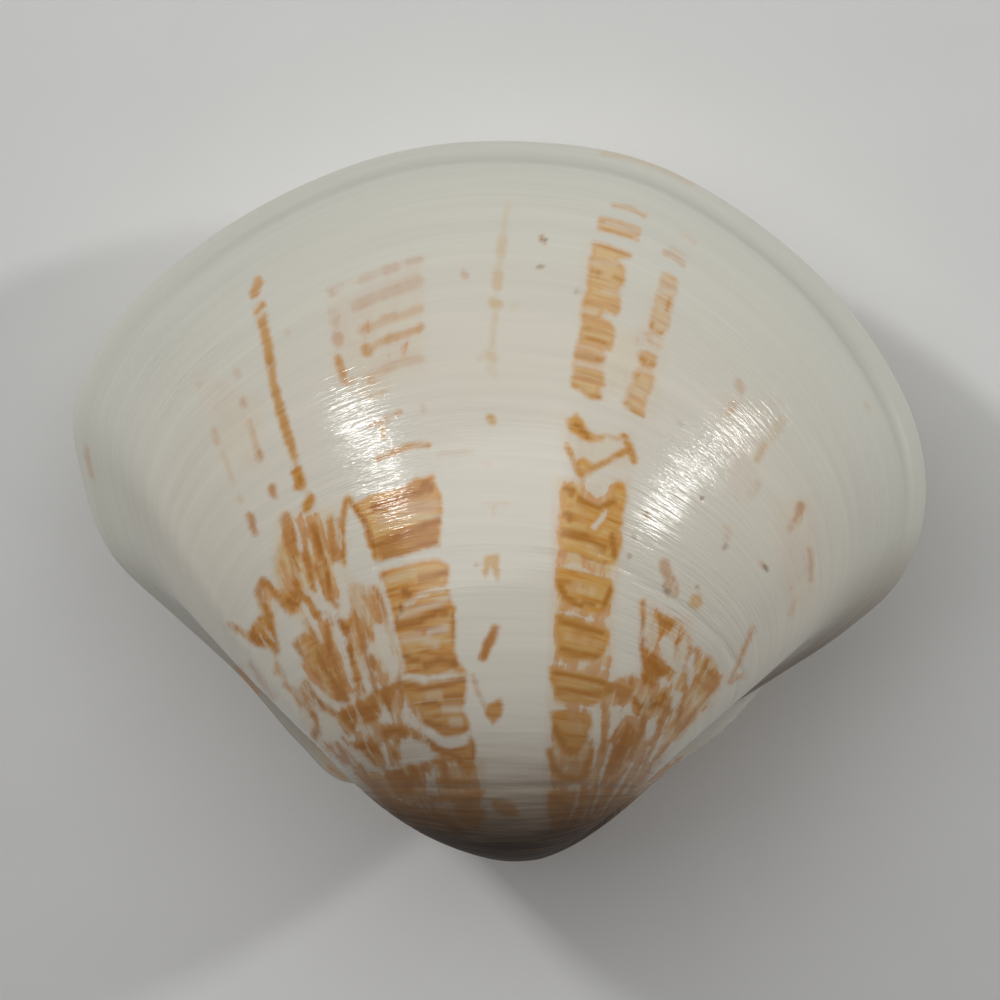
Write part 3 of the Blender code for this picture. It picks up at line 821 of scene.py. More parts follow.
RIGHT_NET = [
    line(0.95, 2.1, (643, 602), (643, 625), (642, 650)),
    patch(0.95, (653, 610), (666, 615), (681, 621), (673, 633), (660, 637)),
    line(0.4, 3.0, (652, 622), (654, 640), (648, 650)),
    patch(1.0, (641, 647), (649, 646), (659, 660), (676, 672), (670, 680), (661, 678), (651, 688),
          (642, 684)),
    deep(4.0, (650, 662), (660, 672)),
    line(0.9, 2.5, (672, 655), (677, 642), (684, 633), (690, 641), (689, 660), (686, 686)),
    line(0.35, 2.4, (668, 650), (674, 636), (680, 628), hue=YELLOW),
    patch(0.75, (709, 655), (715, 664), (720, 680), (718, 690), (710, 698), (706, 690), (700, 696),
          (694, 692), (694, 678), (701, 666)),
    fade(0.6, 3.0, (704, 676), (712, 682)),
    deep(2.6, (697, 692)),
    deep(2.6, (717, 688)),
    line(0.75, 1.9, (753, 628), (745, 648), (737, 668), (731, 681)),
    line(0.75, 2.6, (730, 682), (744, 675)),
    patch(0.85, (612, 682), (622, 678), (632, 675), (635, 690), (628, 700), (614, 699)),
    patch(1.0, (630, 691), (641, 703), (652, 698), (662, 690), (668, 694), (664, 706), (654, 711),
          (644, 712), (639, 717), (633, 706)),
    deep(2.8, (640, 708), (656, 704)),
    line(0.85, 1.9, (666, 700), (663, 718), (658, 738)),
    line(0.95, 2.5, (685, 684), (681, 706), (676, 728)),
    patch(0.95, (671, 722), (686, 725), (681, 731), (674, 734)),
    line(0.85, 2.2, (604, 694), (605, 715), (605, 735), (603, 752)),
    patch(0.9, (626, 720), (634, 727), (641, 736), (638, 750), (628, 762), (617, 773), (605, 774),
          (606, 760), (611, 747), (619, 733)),
    deep(3.8, (626, 735), (618, 756)),
    line(0.85, 2.2, (651, 741), (644, 760), (634, 780)),
    line(0.8, 2.4, (666, 745), (654, 764), (640, 784)),
    patch(0.8, (596, 776), (612, 778), (626, 772), (628, 786), (616, 802), (602, 812), (594, 800)),
    line(0.7, 3.4, (640, 776), (628, 794), (616, 808)),
    line(0.55, 2.4, (700, 706), (690, 722), (678, 738), hue=YELLOW),
    line(0.6, 5.6, (664, 564), (668, 575), (674, 592), hue=PINK),
    line(0.6, 1.2, (664, 586), (669, 596)),
    patch(0.7, (690, 596), (701, 594), (703, 604), (696, 612), (689, 606), hue=YELLOW),
    line(0.6, 1.2, (697, 586), (698, 587)),
    deep(2.0, (724, 547)),
    line(0.7, 1.6, (724, 546), (725, 548)),
    line(0.28, 3.2, (726, 528), (728, 536)),
    line(0.45, 2.4, (645, 514), (648, 518), hue=YELLOW),
    line(0.55, 1.4, (634, 535), (635, 537)),
    line(0.6, 1.4, (629, 554), (630, 556)),
    line(0.65, 1.4, (761, 563), (766, 568), hue=PINK),
    line(0.7, 4.4, (801, 506), (797, 522), hue=PINK),
    line(0.3, 3.2, (797, 524), (791, 529), hue=PINK),
    line(0.5, 2.0, (810, 550), (811, 565), (810, 580), hue=PINK),
    line(0.25, 2.0, (797, 598), (790, 614), hue=YELLOW),
    line(0.42, 3.6, (738, 382), (742, 390), hue=PINK),
    line(0.45, 3.6, (734, 404), (730, 412), hue=PINK),
    line(0.45, 3.4, (765, 445), (757, 460), hue=YELLOW),
    line(0.25, 5.0, (782, 420), (772, 438), hue=YELLOW),
    line(0.2, 5.0, (756, 485), (750, 496), hue=PINK),
    line(0.45, 2.2, (702, 497), (704, 499), hue=YELLOW),
    line(0.3, 2.6, (866, 404), (868, 409), hue=YELLOW),
    line(0.26, 4.4, (604, 152), (632, 156), (664, 168), (692, 182), hue=YELLOW),
    line(0.5, 1.8, (86, 446), (88, 460), (92, 478), hue=PINK),
]
WASHES = [
    wash(0.95, (280, 520), (300, 512), (335, 510), (341, 560), (344, 596), (330, 604), (312, 592),
         (296, 598), (284, 590), (274, 575)),
    wash(0.9, (262, 582), (296, 590), (316, 606), (322, 620), (306, 622), (288, 612), (276, 600), (276, 640),
         (262, 612)),
    wash(0.8, (344, 572), (362, 590), (378, 590), (394, 640), (404, 680), (384, 690), (372, 680), (374, 650),
         (366, 640), (366, 690), (350, 662), (346, 620)),
    wash(0.9, (306, 620), (328, 618), (346, 650), (362, 694), (330, 704), (302, 670)),
    wash(0.85, (330, 712), (372, 690), (410, 684), (424, 730), (420, 764), (380, 770), (340, 742)),
    wash(0.7, (300, 700), (330, 712), (342, 744), (330, 770), (306, 730)),
    wash(1.0, (352, 772), (400, 764), (440, 760), (482, 760), (484, 830), (430, 838), (390, 820)),
    wash(0.4, (612, 336), (652, 328), (642, 350), (632, 394), (606, 390), (606, 352)),
    wash(0.4, (560, 414), (600, 436), (632, 432), (632, 470), (600, 470), (586, 486), (564, 450)),
    wash(1.0, (557, 480), (628, 480), (612, 610), (612, 680), (592, 720), (590, 835), (545, 835),
         (553, 640)),
    wash(0.95, (596, 684), (635, 676), (668, 684), (700, 650), (724, 676), (712, 704), (680, 735),
         (640, 788), (600, 826), (575, 834), (586, 760)),
    wash(0.6, (641, 600), (690, 622), (692, 660), (680, 700), (642, 690)),
    wash(0.28, (360, 290), (424, 258), (424, 370), (366, 400), (335, 385), (330, 300), hue=PINK),
    wash(0.3, (584, 246), (626, 254), (606, 398), (578, 392)),
    wash(0.25, (652, 290), (675, 280), (655, 420), (624, 410), (640, 350)),
    wash(0.18, (716, 395), (780, 400), (760, 470), (738, 500), (716, 440), hue=YELLOW),
    wash(0.24, (775, 500), (815, 495), (818, 600), (790, 620), (780, 560), hue=PINK),
    wash(0.22, (196, 370), (262, 400), (262, 470), (222, 460), hue=PINK),
]
BARE = [
    bare((582, 478), (614, 478), (609, 492), (598, 499), (587, 493)),
    clear(3.2, (294, 506), (297, 528), (301, 550)),
    clear(1.6, (303, 514), (308, 534), (311, 552)),
    clear(1.4, (323, 516), (327, 540)),
    clear(4.2, (338, 566), (342, 586), (347, 604)),
    clear(2.4, (303, 604), (312, 622), (322, 640)),
    clear(2.6, (317, 584), (323, 598), (330, 612)),
    clear(2.8, (334, 618), (340, 640), (347, 662), (352, 684)),
    clear(1.8, (379, 572), (386, 598), (392, 622), (399, 648), (404, 668)),
    bare((372, 626), (384, 622), (393, 650), (401, 672), (392, 680), (384, 664), (377, 646)),
    bare((278, 606), (290, 620), (300, 626), (292, 644), (298, 662), (308, 678), (296, 676), (280, 656),
         (276, 630)),
    bare((352, 512), (366, 540), (376, 566), (366, 574), (352, 572), (349, 545)),
    bare((306, 706), (316, 712), (322, 740), (336, 744), (344, 732), (336, 722), (326, 712)),
    bare((404, 700), (414, 714), (424, 734), (412, 728), (402, 718)),
    bare((400, 738), (412, 738), (424, 745), (430, 762), (404, 764), (402, 750)),
    bare((344, 736), (356, 736), (350, 742)),
    bare((384, 704), (392, 716), (392, 724), (378, 722)),
    bare((424, 772), (434, 768), (440, 796), (426, 796)),
    clear(1.8, (360, 722), (352, 742)),
    clear(2.0, (368, 768), (384, 772), (404, 764), (424, 760)),
    clear(1.6, (384, 744), (388, 768)),
    clear(1.6, (392, 796), (410, 804), (432, 806), (456, 804)),
    clear(1.6, (346, 770), (366, 790), (390, 812)),
    bare((660, 642), (672, 640), (676, 650), (672, 666), (664, 654)),
    bare((612, 706), (628, 704), (640, 719), (626, 714), (612, 736), (607, 742)),
    bare((646, 722), (659, 715), (655, 734), (646, 744)),
    bare((673, 690), (684, 694), (678, 708), (669, 712)),
    bare((592, 712), (602, 710), (601, 742), (594, 766)),
    bare((686, 660), (696, 650), (694, 676), (688, 700)),
    clear(1.6, (612, 742), (604, 768), (598, 792), (592, 815)),
    clear(1.6, (650, 746), (638, 772), (622, 796)),
    clear(1.5, (632, 764), (616, 792), (602, 812)),
    clear(1.4, (668, 716), (660, 740), (650, 762)),
    clear(1.5, (580, 786), (576, 806), (566, 826)),
    clear(1.6, (553, 790), (570, 788), (590, 788)),
    clear(1.8, (560, 612), (578, 616), (610, 622)),
    clear(1.6, (556, 662), (580, 665), (612, 672)),
    clear(2.0, (553, 708), (572, 708), (594, 710)),
    clear(1.6, (557, 563), (580, 570), (612, 577)),
]
RIDGES = [
    ridge(1.0, 3.5, (600, 554), (625, 569), (655, 590), (690, 611), (722, 640), (742, 672)),
    ridge(0.5, 2.5, (380, 211), (432, 199), (487, 192), (548, 195), (608, 208)),
    ridge(0.5, 2.5, (155, 392), (180, 360), (209, 330)),
    ridge(0.5, 2.5, (800, 363), (812, 380), (822, 396)),
    ridge(0.6, 3.0, (376, 566), (400, 556), (440, 550)),
    ridge(0.5, 3.0, (436, 792), (480, 788), (530, 787), (584, 785)),
]
SPECKS = [
    speck(1.2, (400, 605), (402, 611), (397, 617)),
    speck(1.7, (541, 238), (547, 242)),
    speck(1.2, (539, 267), (542, 267)),
    speck(1.2, (577, 290), (578, 292)),
    speck(1.8, (597, 274)),
    speck(2.6, (646, 515)),
    speck(1.8, (634, 536)),
    speck(2.0, (630, 555)),
    speck(2.2, (725, 547)),
    speck(1.8, (698, 586)),
    speck(1.8, (765, 566), (767, 570)),
    speck(1.6, (680, 425)),
    speck(2.0, (702, 498)),
    speck(1.5, (664, 586), (669, 595)),
    speck(1.4, (606, 561)),
]
MORE_NET = [
    patch(0.45, (350, 583), (378, 587), (390, 612), (399, 644), (392, 652), (381, 630), (368, 624),
          (356, 606)),
    warm(2.2, (376, 590), (383, 604), (388, 622)),
    warm(2.0, (362, 604), (368, 626)),
    line(0.7, 3.0, (238, 668), (247, 680), (256, 692)),
    line(0.6, 2.4, (250, 664), (262, 682), (274, 698)),
    line(0.85, 2.6, (696, 650), (690, 672), (682, 694)),
    line(0.9, 2.6, (706, 700), (692, 716), (680, 732)),
    line(0.85, 3.0, (644, 716), (640, 736), (630, 758)),
    line(0.85, 2.8, (620, 704), (616, 722), (612, 740)),
    deep(3.0, (643, 620), (642, 648)),
    deep(9.0, (648, 664), (660, 672), share=0.7),
    deep(8.0, (612, 690), (648, 702), share=0.7),
    deep(11.0, (624, 742), (608, 766), share=0.7),
    deep(11.0, (600, 788), (612, 796), share=0.8),
    deep(7.0, (700, 676), (714, 690), share=0.6),
    deep(7.0, (360, 712), (396, 690), share=0.5),
    deep(9.0, (300, 590), (330, 560), share=0.4),
    line(0.9, 2.6, (384, 704), (390, 722), (398, 742)),
    line(0.8, 2.4, (408, 716), (420, 736), (436, 750)),
    deep(2.4, (318, 700), (322, 720), (316, 736)),
    deep(3.4, (662, 622), (674, 628)),
    deep(3.0, (706, 668), (716, 684)),
    line(0.85, 3.2, (353, 600), (357, 620), (362, 642), (368, 664), (376, 690)),
    line(0.9, 3.4, (292, 556), (297, 580), (303, 598)),
    line(0.85, 3.0, (340, 520), (341, 545), (340, 562)),
    line(0.8, 3.2, (356, 600), (366, 628), (371, 640)),
    line(0.75, 3.0, (366, 592), (378, 620), (388, 650), (398, 676)),
    line(0.8, 3.4, (306, 622), (318, 640), (330, 664)),
    line(0.8, 3.0, (286, 684), (298, 694), (312, 712), (324, 730)),
    line(0.8, 3.2, (333, 744), (345, 752), (360, 772)),
    line(0.75, 3.0, (402, 700), (410, 722), (418, 744), (424, 764)),
    line(0.85, 3.4, (424, 768), (430, 784), (434, 800)),
    line(0.9, 4.0, (443, 764), (447, 782)),
    line(0.9, 3.4, (372, 782), (384, 800), (400, 816)),
    line(0.9, 3.0, (360, 766), (378, 790)),
    line(0.85, 4.0, (430, 812), (446, 820), (462, 832)),
    line(0.9, 3.0, (612, 770), (604, 792), (594, 812)),
    line(0.9, 3.0, (626, 772), (618, 790), (604, 812)),
    line(0.9, 3.0, (660, 722), (650, 744), (640, 768)),
    line(0.85, 2.6, (672, 700), (668, 716)),
    line(0.9, 3.4, (584, 790), (580, 806), (574, 824)),
    line(0.85, 3.0, (592, 800), (588, 820)),
    line(0.8, 2.6, (566, 618), (584, 624), (606, 632)),
]


def tinted(marks, hue):
    """The same marks with this hue where they had none of their own."""
    return [(kind, power, own or hue, half_width, points) for kind, power, own, half_width, points in marks]


MARKS = (
    WASHES + tinted(LEFT_RAY, BLOCK_HUE) + LEFT_COMB + LEFT_BLOCKS + tinted(LEFT_NET + MORE_NET, LEFT_NET_HUE)
    + MIDDLE + tinted(RIGHT_BLOCKS, BLOCK_HUE) + tinted(RIGHT_NET, RIGHT_NET_HUE) + BARE + RIDGES + SPECKS
)

# How the marks fade over their borders, in the photograph's pixels, and what they do to each other
MARK_SOFTNESS = 1.6
MARK_REACH = 12.0
WASH_SOFTNESS = 7.0
SPECK_EDGE, SPECK_SOFTNESS = 0.42, 3.0
LINE_DARKNESS = 0.5
WARM_STRENGTH = 0.95
CLEARED_WASH = 0.65

# The outside that the photograph doesn't show: a wash near the beaks, and bent marks on the far valve
HIDDEN_FACING, HIDDEN_SOFTNESS = 0.16, 0.12
HIDDEN_WASH, HIDDEN_WASH_AGE, HIDDEN_WASH_SPAN = 0.8, 0.75, 0.4
FAR_WARP, FAR_WAVES, FAR_PHASE = 7.0, (23.0, 31.0), 1.0

# Where the gloss is streaked, as pixels and half widths, and the brownish band beside the hinge, stained and
# partly painted shade where the valves meet
STRIATED = ((380, 455, 70, 95), (715, 460, 90, 110), (690, 610, 60, 40), (180, 360, 60, 50))
# A brownish band along the hinge side: partly stained edge, partly painted shade where the valves turn from the
# lights and meet
HINGE_STAIN_AND_SHADE_REACH, HINGE_STAIN_AND_SHADE_SOFTNESS = 12.5, 6.0
HINGE_STAIN_AND_SHADE_AGE = 0.27
HINGE_STAIN_AND_SHADE_SHARE, HINGE_STAIN_AND_SHADE_LEAN, HINGE_STAIN_AND_SHADE_TURN = 0.7, 0.3, 3.0


def stroke_distance(pixels, line, half_width):
    """Distance to the border of a stroke, positive inside it."""
    points = np.array(line, dtype=float)
    if len(points) == 1:
        return half_width - np.linalg.norm(pixels - points[0], axis=1)
    best = np.full(len(pixels), -np.inf)
    for a, b in zip(points, points[1:]):
        along = np.clip(((pixels - a) @ (b - a)) / ((b - a) @ (b - a)), 0, 1)
        away = np.linalg.norm(pixels - (a + along[:, None] * (b - a)), axis=1)
        best = np.maximum(best, half_width - away)
    return best


def patch_distance(pixels, corners):
    """Distance to the border of a patch, positive inside it."""
    loop = list(corners) + [corners[0]]
    edge = -stroke_distance(pixels, loop, 0.0)
    inside = np.zeros(len(pixels), dtype=bool)
    for (ax, ay), (bx, by) in zip(loop, loop[1:]):
        if ay == by:
            continue
        crosses = (pixels[:, 1] < ay) != (pixels[:, 1] < by)
        inside ^= crosses & (pixels[:, 0] < ax + (pixels[:, 1] - ay) * (bx - ax) / (by - ay))
    return np.where(inside, edge, -edge)


def mark_fields(pixels):
    """What the marks say at these pixels: how deep inside, strength, darkness, hue, wash, specks, ridges."""
    depth = np.full(len(pixels), -MARK_REACH)
    strength = np.ones(len(pixels))
    darkness, hue, washed, specks, raised = np.zeros((5, len(pixels)))
    for kind, power, tint, half_width, points in MARKS:
        corners = np.array(points, dtype=float)
        low = corners.min(axis=0) - half_width - MARK_REACH
        high = corners.max(axis=0) + half_width + MARK_REACH
        near = np.nonzero(((pixels > low) & (pixels < high)).all(axis=1))[0]
        if kind in ("patch", "wash", "bare"):
            found = patch_distance(pixels[near], points)
        else:
            found = stroke_distance(pixels[near], points, half_width)
        amount = np.clip(0.5 + found / (2 * MARK_SOFTNESS), 0, 1)
        if kind in ("patch", "line"):
            better = found > depth[near]
            chosen = near[better]
            depth[chosen] = found[better]
            strength[chosen] = power
            hue[chosen] = tint
            if kind == "line":
                darkness[near] = np.maximum(darkness[near], LINE_DARKNESS * amount)
        elif kind == "wash":
            soft = np.clip(0.5 + found / (2 * WASH_SOFTNESS), 0, 1)
            washed[near] = np.maximum(washed[near], power * soft)
        elif kind in ("clear", "bare"):
            depth[near] = np.minimum(depth[near], -found)
            washed[near] *= 1 - CLEARED_WASH * amount
        elif kind == "ridge":
            crest = np.exp(-(((found - half_width) / half_width) ** 2))
            raised[near] = np.maximum(raised[near], power * crest)
        elif kind == "speck":
            specks[near] = np.maximum(specks[near], np.clip(SPECK_EDGE + found / SPECK_SOFTNESS, 0, 1))
        elif kind == "warm":
            strength[near] = np.maximum(strength[near], WARM_STRENGTH * amount)
            darkness[near] = np.maximum(darkness[near], LINE_DARKNESS * amount)
        elif kind == "fade":
            strength[near] *= 1 - (1 - power) * amount
        else:
            darkness[near] = np.maximum(darkness[near], power * amount)
    return depth, strength, darkness, hue, washed, specks, raised


def cup_rings(edge, ages, outer):
    """The rings of a valve from the bottom of its hollow over the lip to the beak, and the age of each."""
    near_hinge = np.clip(1 - edge[:, 1] / HINGE_REACH, 0, 1)
    inner = [
        shrunk_ring(edge, age, WALL + HINGE_WALL * near_hinge * growth(age)[1], share)
        for age, share in HOLLOW_STAGES[::-1]
    ]
    tip = [shrunk_ring(edge, age, 0.0, share) for age, share in BEAK_TIP]
    ring_age = np.concatenate([[-1.0] * len(inner), ages, [age for age, _ in BEAK_TIP]])
    return np.concatenate([np.array(inner), outer, np.array(tip)]), ring_age


def closing_point(ring, age):
    _, height, _, turn = growth(age)
    reach = RING_MIDDLE * height
    return [ring[:, 0].mean(), reach * math.cos(turn), reach * math.sin(turn)]


def cup_faces(rings, columns, turned):
    """Quads between the rings and a fan of triangles on the first and on the last."""
    i = np.arange(rings - 1)[:, None] * columns
    j = np.arange(columns)
    k = (j + 1) % columns
    last = (rings - 1) * columns
    faces = [
        np.stack([i + j, i + columns + j, i + columns + k, i + k], axis=-1).reshape(-1, 4),
        np.stack([j, k, np.full(columns, rings * columns)], axis=-1),
        np.stack([last + k, last + j, np.full(columns, rings * columns + 1)], axis=-1),
    ]
    return [face for part in faces for face in (part[:, ::-1] if turned else part).tolist()]


def valve_fields(edge, ring_age, facing, pixels, side):
    """The marks, tints, painted shade and growth of a valve at each of its points, by name."""
    columns = len(edge)
    age = np.concatenate([np.repeat(ring_age, columns), [-1.0, BEAK_TIP_AGE]])
    outside = age >= 0
    if side < 0:
        bend = [np.sin(pixels[:, 1] / FAR_WAVES[0] + FAR_PHASE), np.sin(pixels[:, 0] / FAR_WAVES[1])]
        pixels = pixels + FAR_WARP * np.stack(bend, axis=-1)
    depth, strength, darkness, hue, washed, specks, raised = mark_fields(pixels)
    facing = np.concatenate([facing.reshape(-1), [0.0, 0.0]])
    hidden = np.clip((HIDDEN_FACING - facing) / HIDDEN_SOFTNESS, 0, 1)
    old = np.clip((age - HIDDEN_WASH_AGE) / HIDDEN_WASH_SPAN, 0, 1)
    washed = washed * (1 - hidden) + hidden * HIDDEN_WASH * old
    striated = np.zeros(len(pixels))
    for x, y, wide, high in STRIATED:
        striated += np.exp(-(((pixels[:, 0] - x) / wide) ** 2) - ((pixels[:, 1] - y) / high) ** 2)
    # Where the painted shade of the rim groove lies
    centre, _, half = RIM_GROOVE
    groove = np.outer(np.exp(-(((ring_age - centre) / half) ** 2)), groove_share(columns))
    # Where the brownish band beside the hinge lies: partly stained, partly painted shade
    lean = HINGE_STAIN_AND_SHADE_SHARE + HINGE_STAIN_AND_SHADE_LEAN * np.tanh(edge[:, 0] / HINGE_STAIN_AND_SHADE_TURN)
    hinge_side = np.clip((HINGE_STAIN_AND_SHADE_REACH - edge[:, 1]) / HINGE_STAIN_AND_SHADE_SOFTNESS, 0, 1) * lean
    stain_and_shade = np.outer(np.exp(-((ring_age / HINGE_STAIN_AND_SHADE_AGE) ** 2)) * (ring_age >= 0), hinge_side)
    turn = np.tile(np.linspace(0, 2 * math.pi, columns, endpoint=False), len(ring_age))
    turn = np.concatenate([turn, [0, 0]])
    distance = growth_distance(np.clip(age, 0, None))
    circle = [GROWTH_LINE_RADIUS * np.cos(turn), GROWTH_LINE_RADIUS * np.sin(turn)]
    return {
        "mark_depth": np.where(outside, depth - MARK_REACH * hidden, -MARK_REACH) * MM_PER_PIXEL,
        "mark_strength": strength,
        "mark_darkness": darkness,
        "mark_hue": hue,
        "mark_wash": washed * outside,
        "specks": specks * (1 - hidden) * outside,
        "ridges": raised * (1 - hidden),
        "striated": np.clip(striated, 0, 1),
        "rim_groove_shade": np.concatenate([groove.reshape(-1), [0.0, 0.0]]),
        "hinge_stain_and_shade": np.concatenate([stain_and_shade.reshape(-1), [0.0, 0.0]]),
        "age": age,
        "growth_lines": np.stack([*circle, distance], axis=-1),
    }


def smooth_mesh(name, points, faces):
    mesh = bpy.data.meshes.new(name)
    mesh.from_pydata(points.tolist(), [], faces)
    mesh.validate()
    mesh.shade_smooth()
    return mesh


def valve_mesh(name, side, swollen, seed, columns, rings):
    """One valve as a closed cup with its marks and growth kept as fields on the mesh."""
    edge = evenly_spaced(edge_curve(), columns)
    ages = ring_ages(rings)
    outer = outer_grid(edge, ages, swollen, seed)
    grid, ring_age = cup_rings(edge, ages, outer)
    ends = [closing_point(grid[0], HOLLOW_TIP_AGE), closing_point(grid[-1], BEAK_TIP_AGE)]
    points = ligament_hollow(np.concatenate([grid.reshape(-1, 3), ends]))
    facing = np.zeros(grid.shape[:2])
    facing[len(HOLLOW_STAGES):-len(BEAK_TIP)] = surface_normals(outer) @ camera_axes()[2]
    fields = valve_fields(edge, ring_age, facing, on_picture(points), side)
    points[:, 2] += SEEN_GAP / 2
    points[:, 2] *= side
    row = to_row_frame(points)
    row[:, 2] = np.maximum(row[:, 2], 0.0)
    mesh = smooth_mesh(name, row, cup_faces(len(grid), columns, side > 0))
    for field, values in fields.items():
        kind, slot = ("FLOAT_VECTOR", "vector") if values.ndim == 2 else ("FLOAT", "value")
        attribute = mesh.attributes.new(field, kind, "POINT")
        attribute.data.foreach_set(slot, values.astype(np.float32).reshape(-1))
    return mesh


class Graph:
    """A new material with short ways to add its shader nodes."""

    def __init__(self, name):
        self.material = bpy.data.materials.new(name)
        self.material.use_nodes = True
        self.tree = self.material.node_tree
        self.shader = self.tree.nodes["Principled BSDF"].inputs

    def put(self, value, socket):
        if isinstance(value, bpy.types.NodeSocket):
            self.tree.links.new(value, socket)
        elif isinstance(value, float):
            socket.default_value = value
        else:
            socket.default_value = (*value, 1.0)

    def node(self, kind, **values):
        made = self.tree.nodes.new(kind)
        for key, value in values.items():
            if key in made.inputs:
                made.inputs[key].default_value = value
            else:
                setattr(made, key, value)
        return made

    def field(self, name, output="Fac"):
        return self.node("ShaderNodeAttribute", attribute_name=name).outputs[output]

    def math(self, operation, first, second, clamp=False):
        made = self.node("ShaderNodeMath", operation=operation, use_clamp=clamp)
        self.put(first, made.inputs[0])
        self.put(second, made.inputs[1])
        return made.outputs[0]

    def scaled(self, value, factor, offset=0.0):
        made = self.math("MULTIPLY_ADD", value, factor)
        self.put(offset, made.node.inputs[2])
        return made

    def mix(self, amount, first, second, blend="MIX"):
        made = self.node("ShaderNodeMix", data_type="RGBA", blend_type=blend)
        for index, value in ((0, amount), (6, first), (7, second)):
            self.put(value, made.inputs[index])
        return made.outputs[2]

    def ramp(self, value, low, high):
        made = self.node("ShaderNodeMapRange", interpolation_type="SMOOTHSTEP")
        for name, end in (("Value", value), ("From Min", low), ("From Max", high)):
            self.put(end, made.inputs[name])
        return made.outputs["Result"]

    def noise(self, place, **values):
        made = self.node("ShaderNodeTexNoise", **values)
        self.tree.links.new(place, made.inputs["Vector"])
        return made.outputs["Fac"]

    def line_noise(self, lines, stretch, detail, roughness):
        """Noise drawn out along the growth lines."""
        mapping = self.node("ShaderNodeMapping", Scale=stretch)
        self.tree.links.new(lines, mapping.inputs["Vector"])
        return self.noise(mapping.outputs["Vector"], Scale=1.0, Detail=detail, Roughness=roughness)

    def place(self):
        return self.node("ShaderNodeNewGeometry").outputs["Position"]

    def bump(self, height, depth):
        made = self.node("ShaderNodeBump", Strength=1.0, Distance=depth)
        self.put(height, made.inputs["Height"])
        self.put(made.outputs["Normal"], self.shader["Normal"])


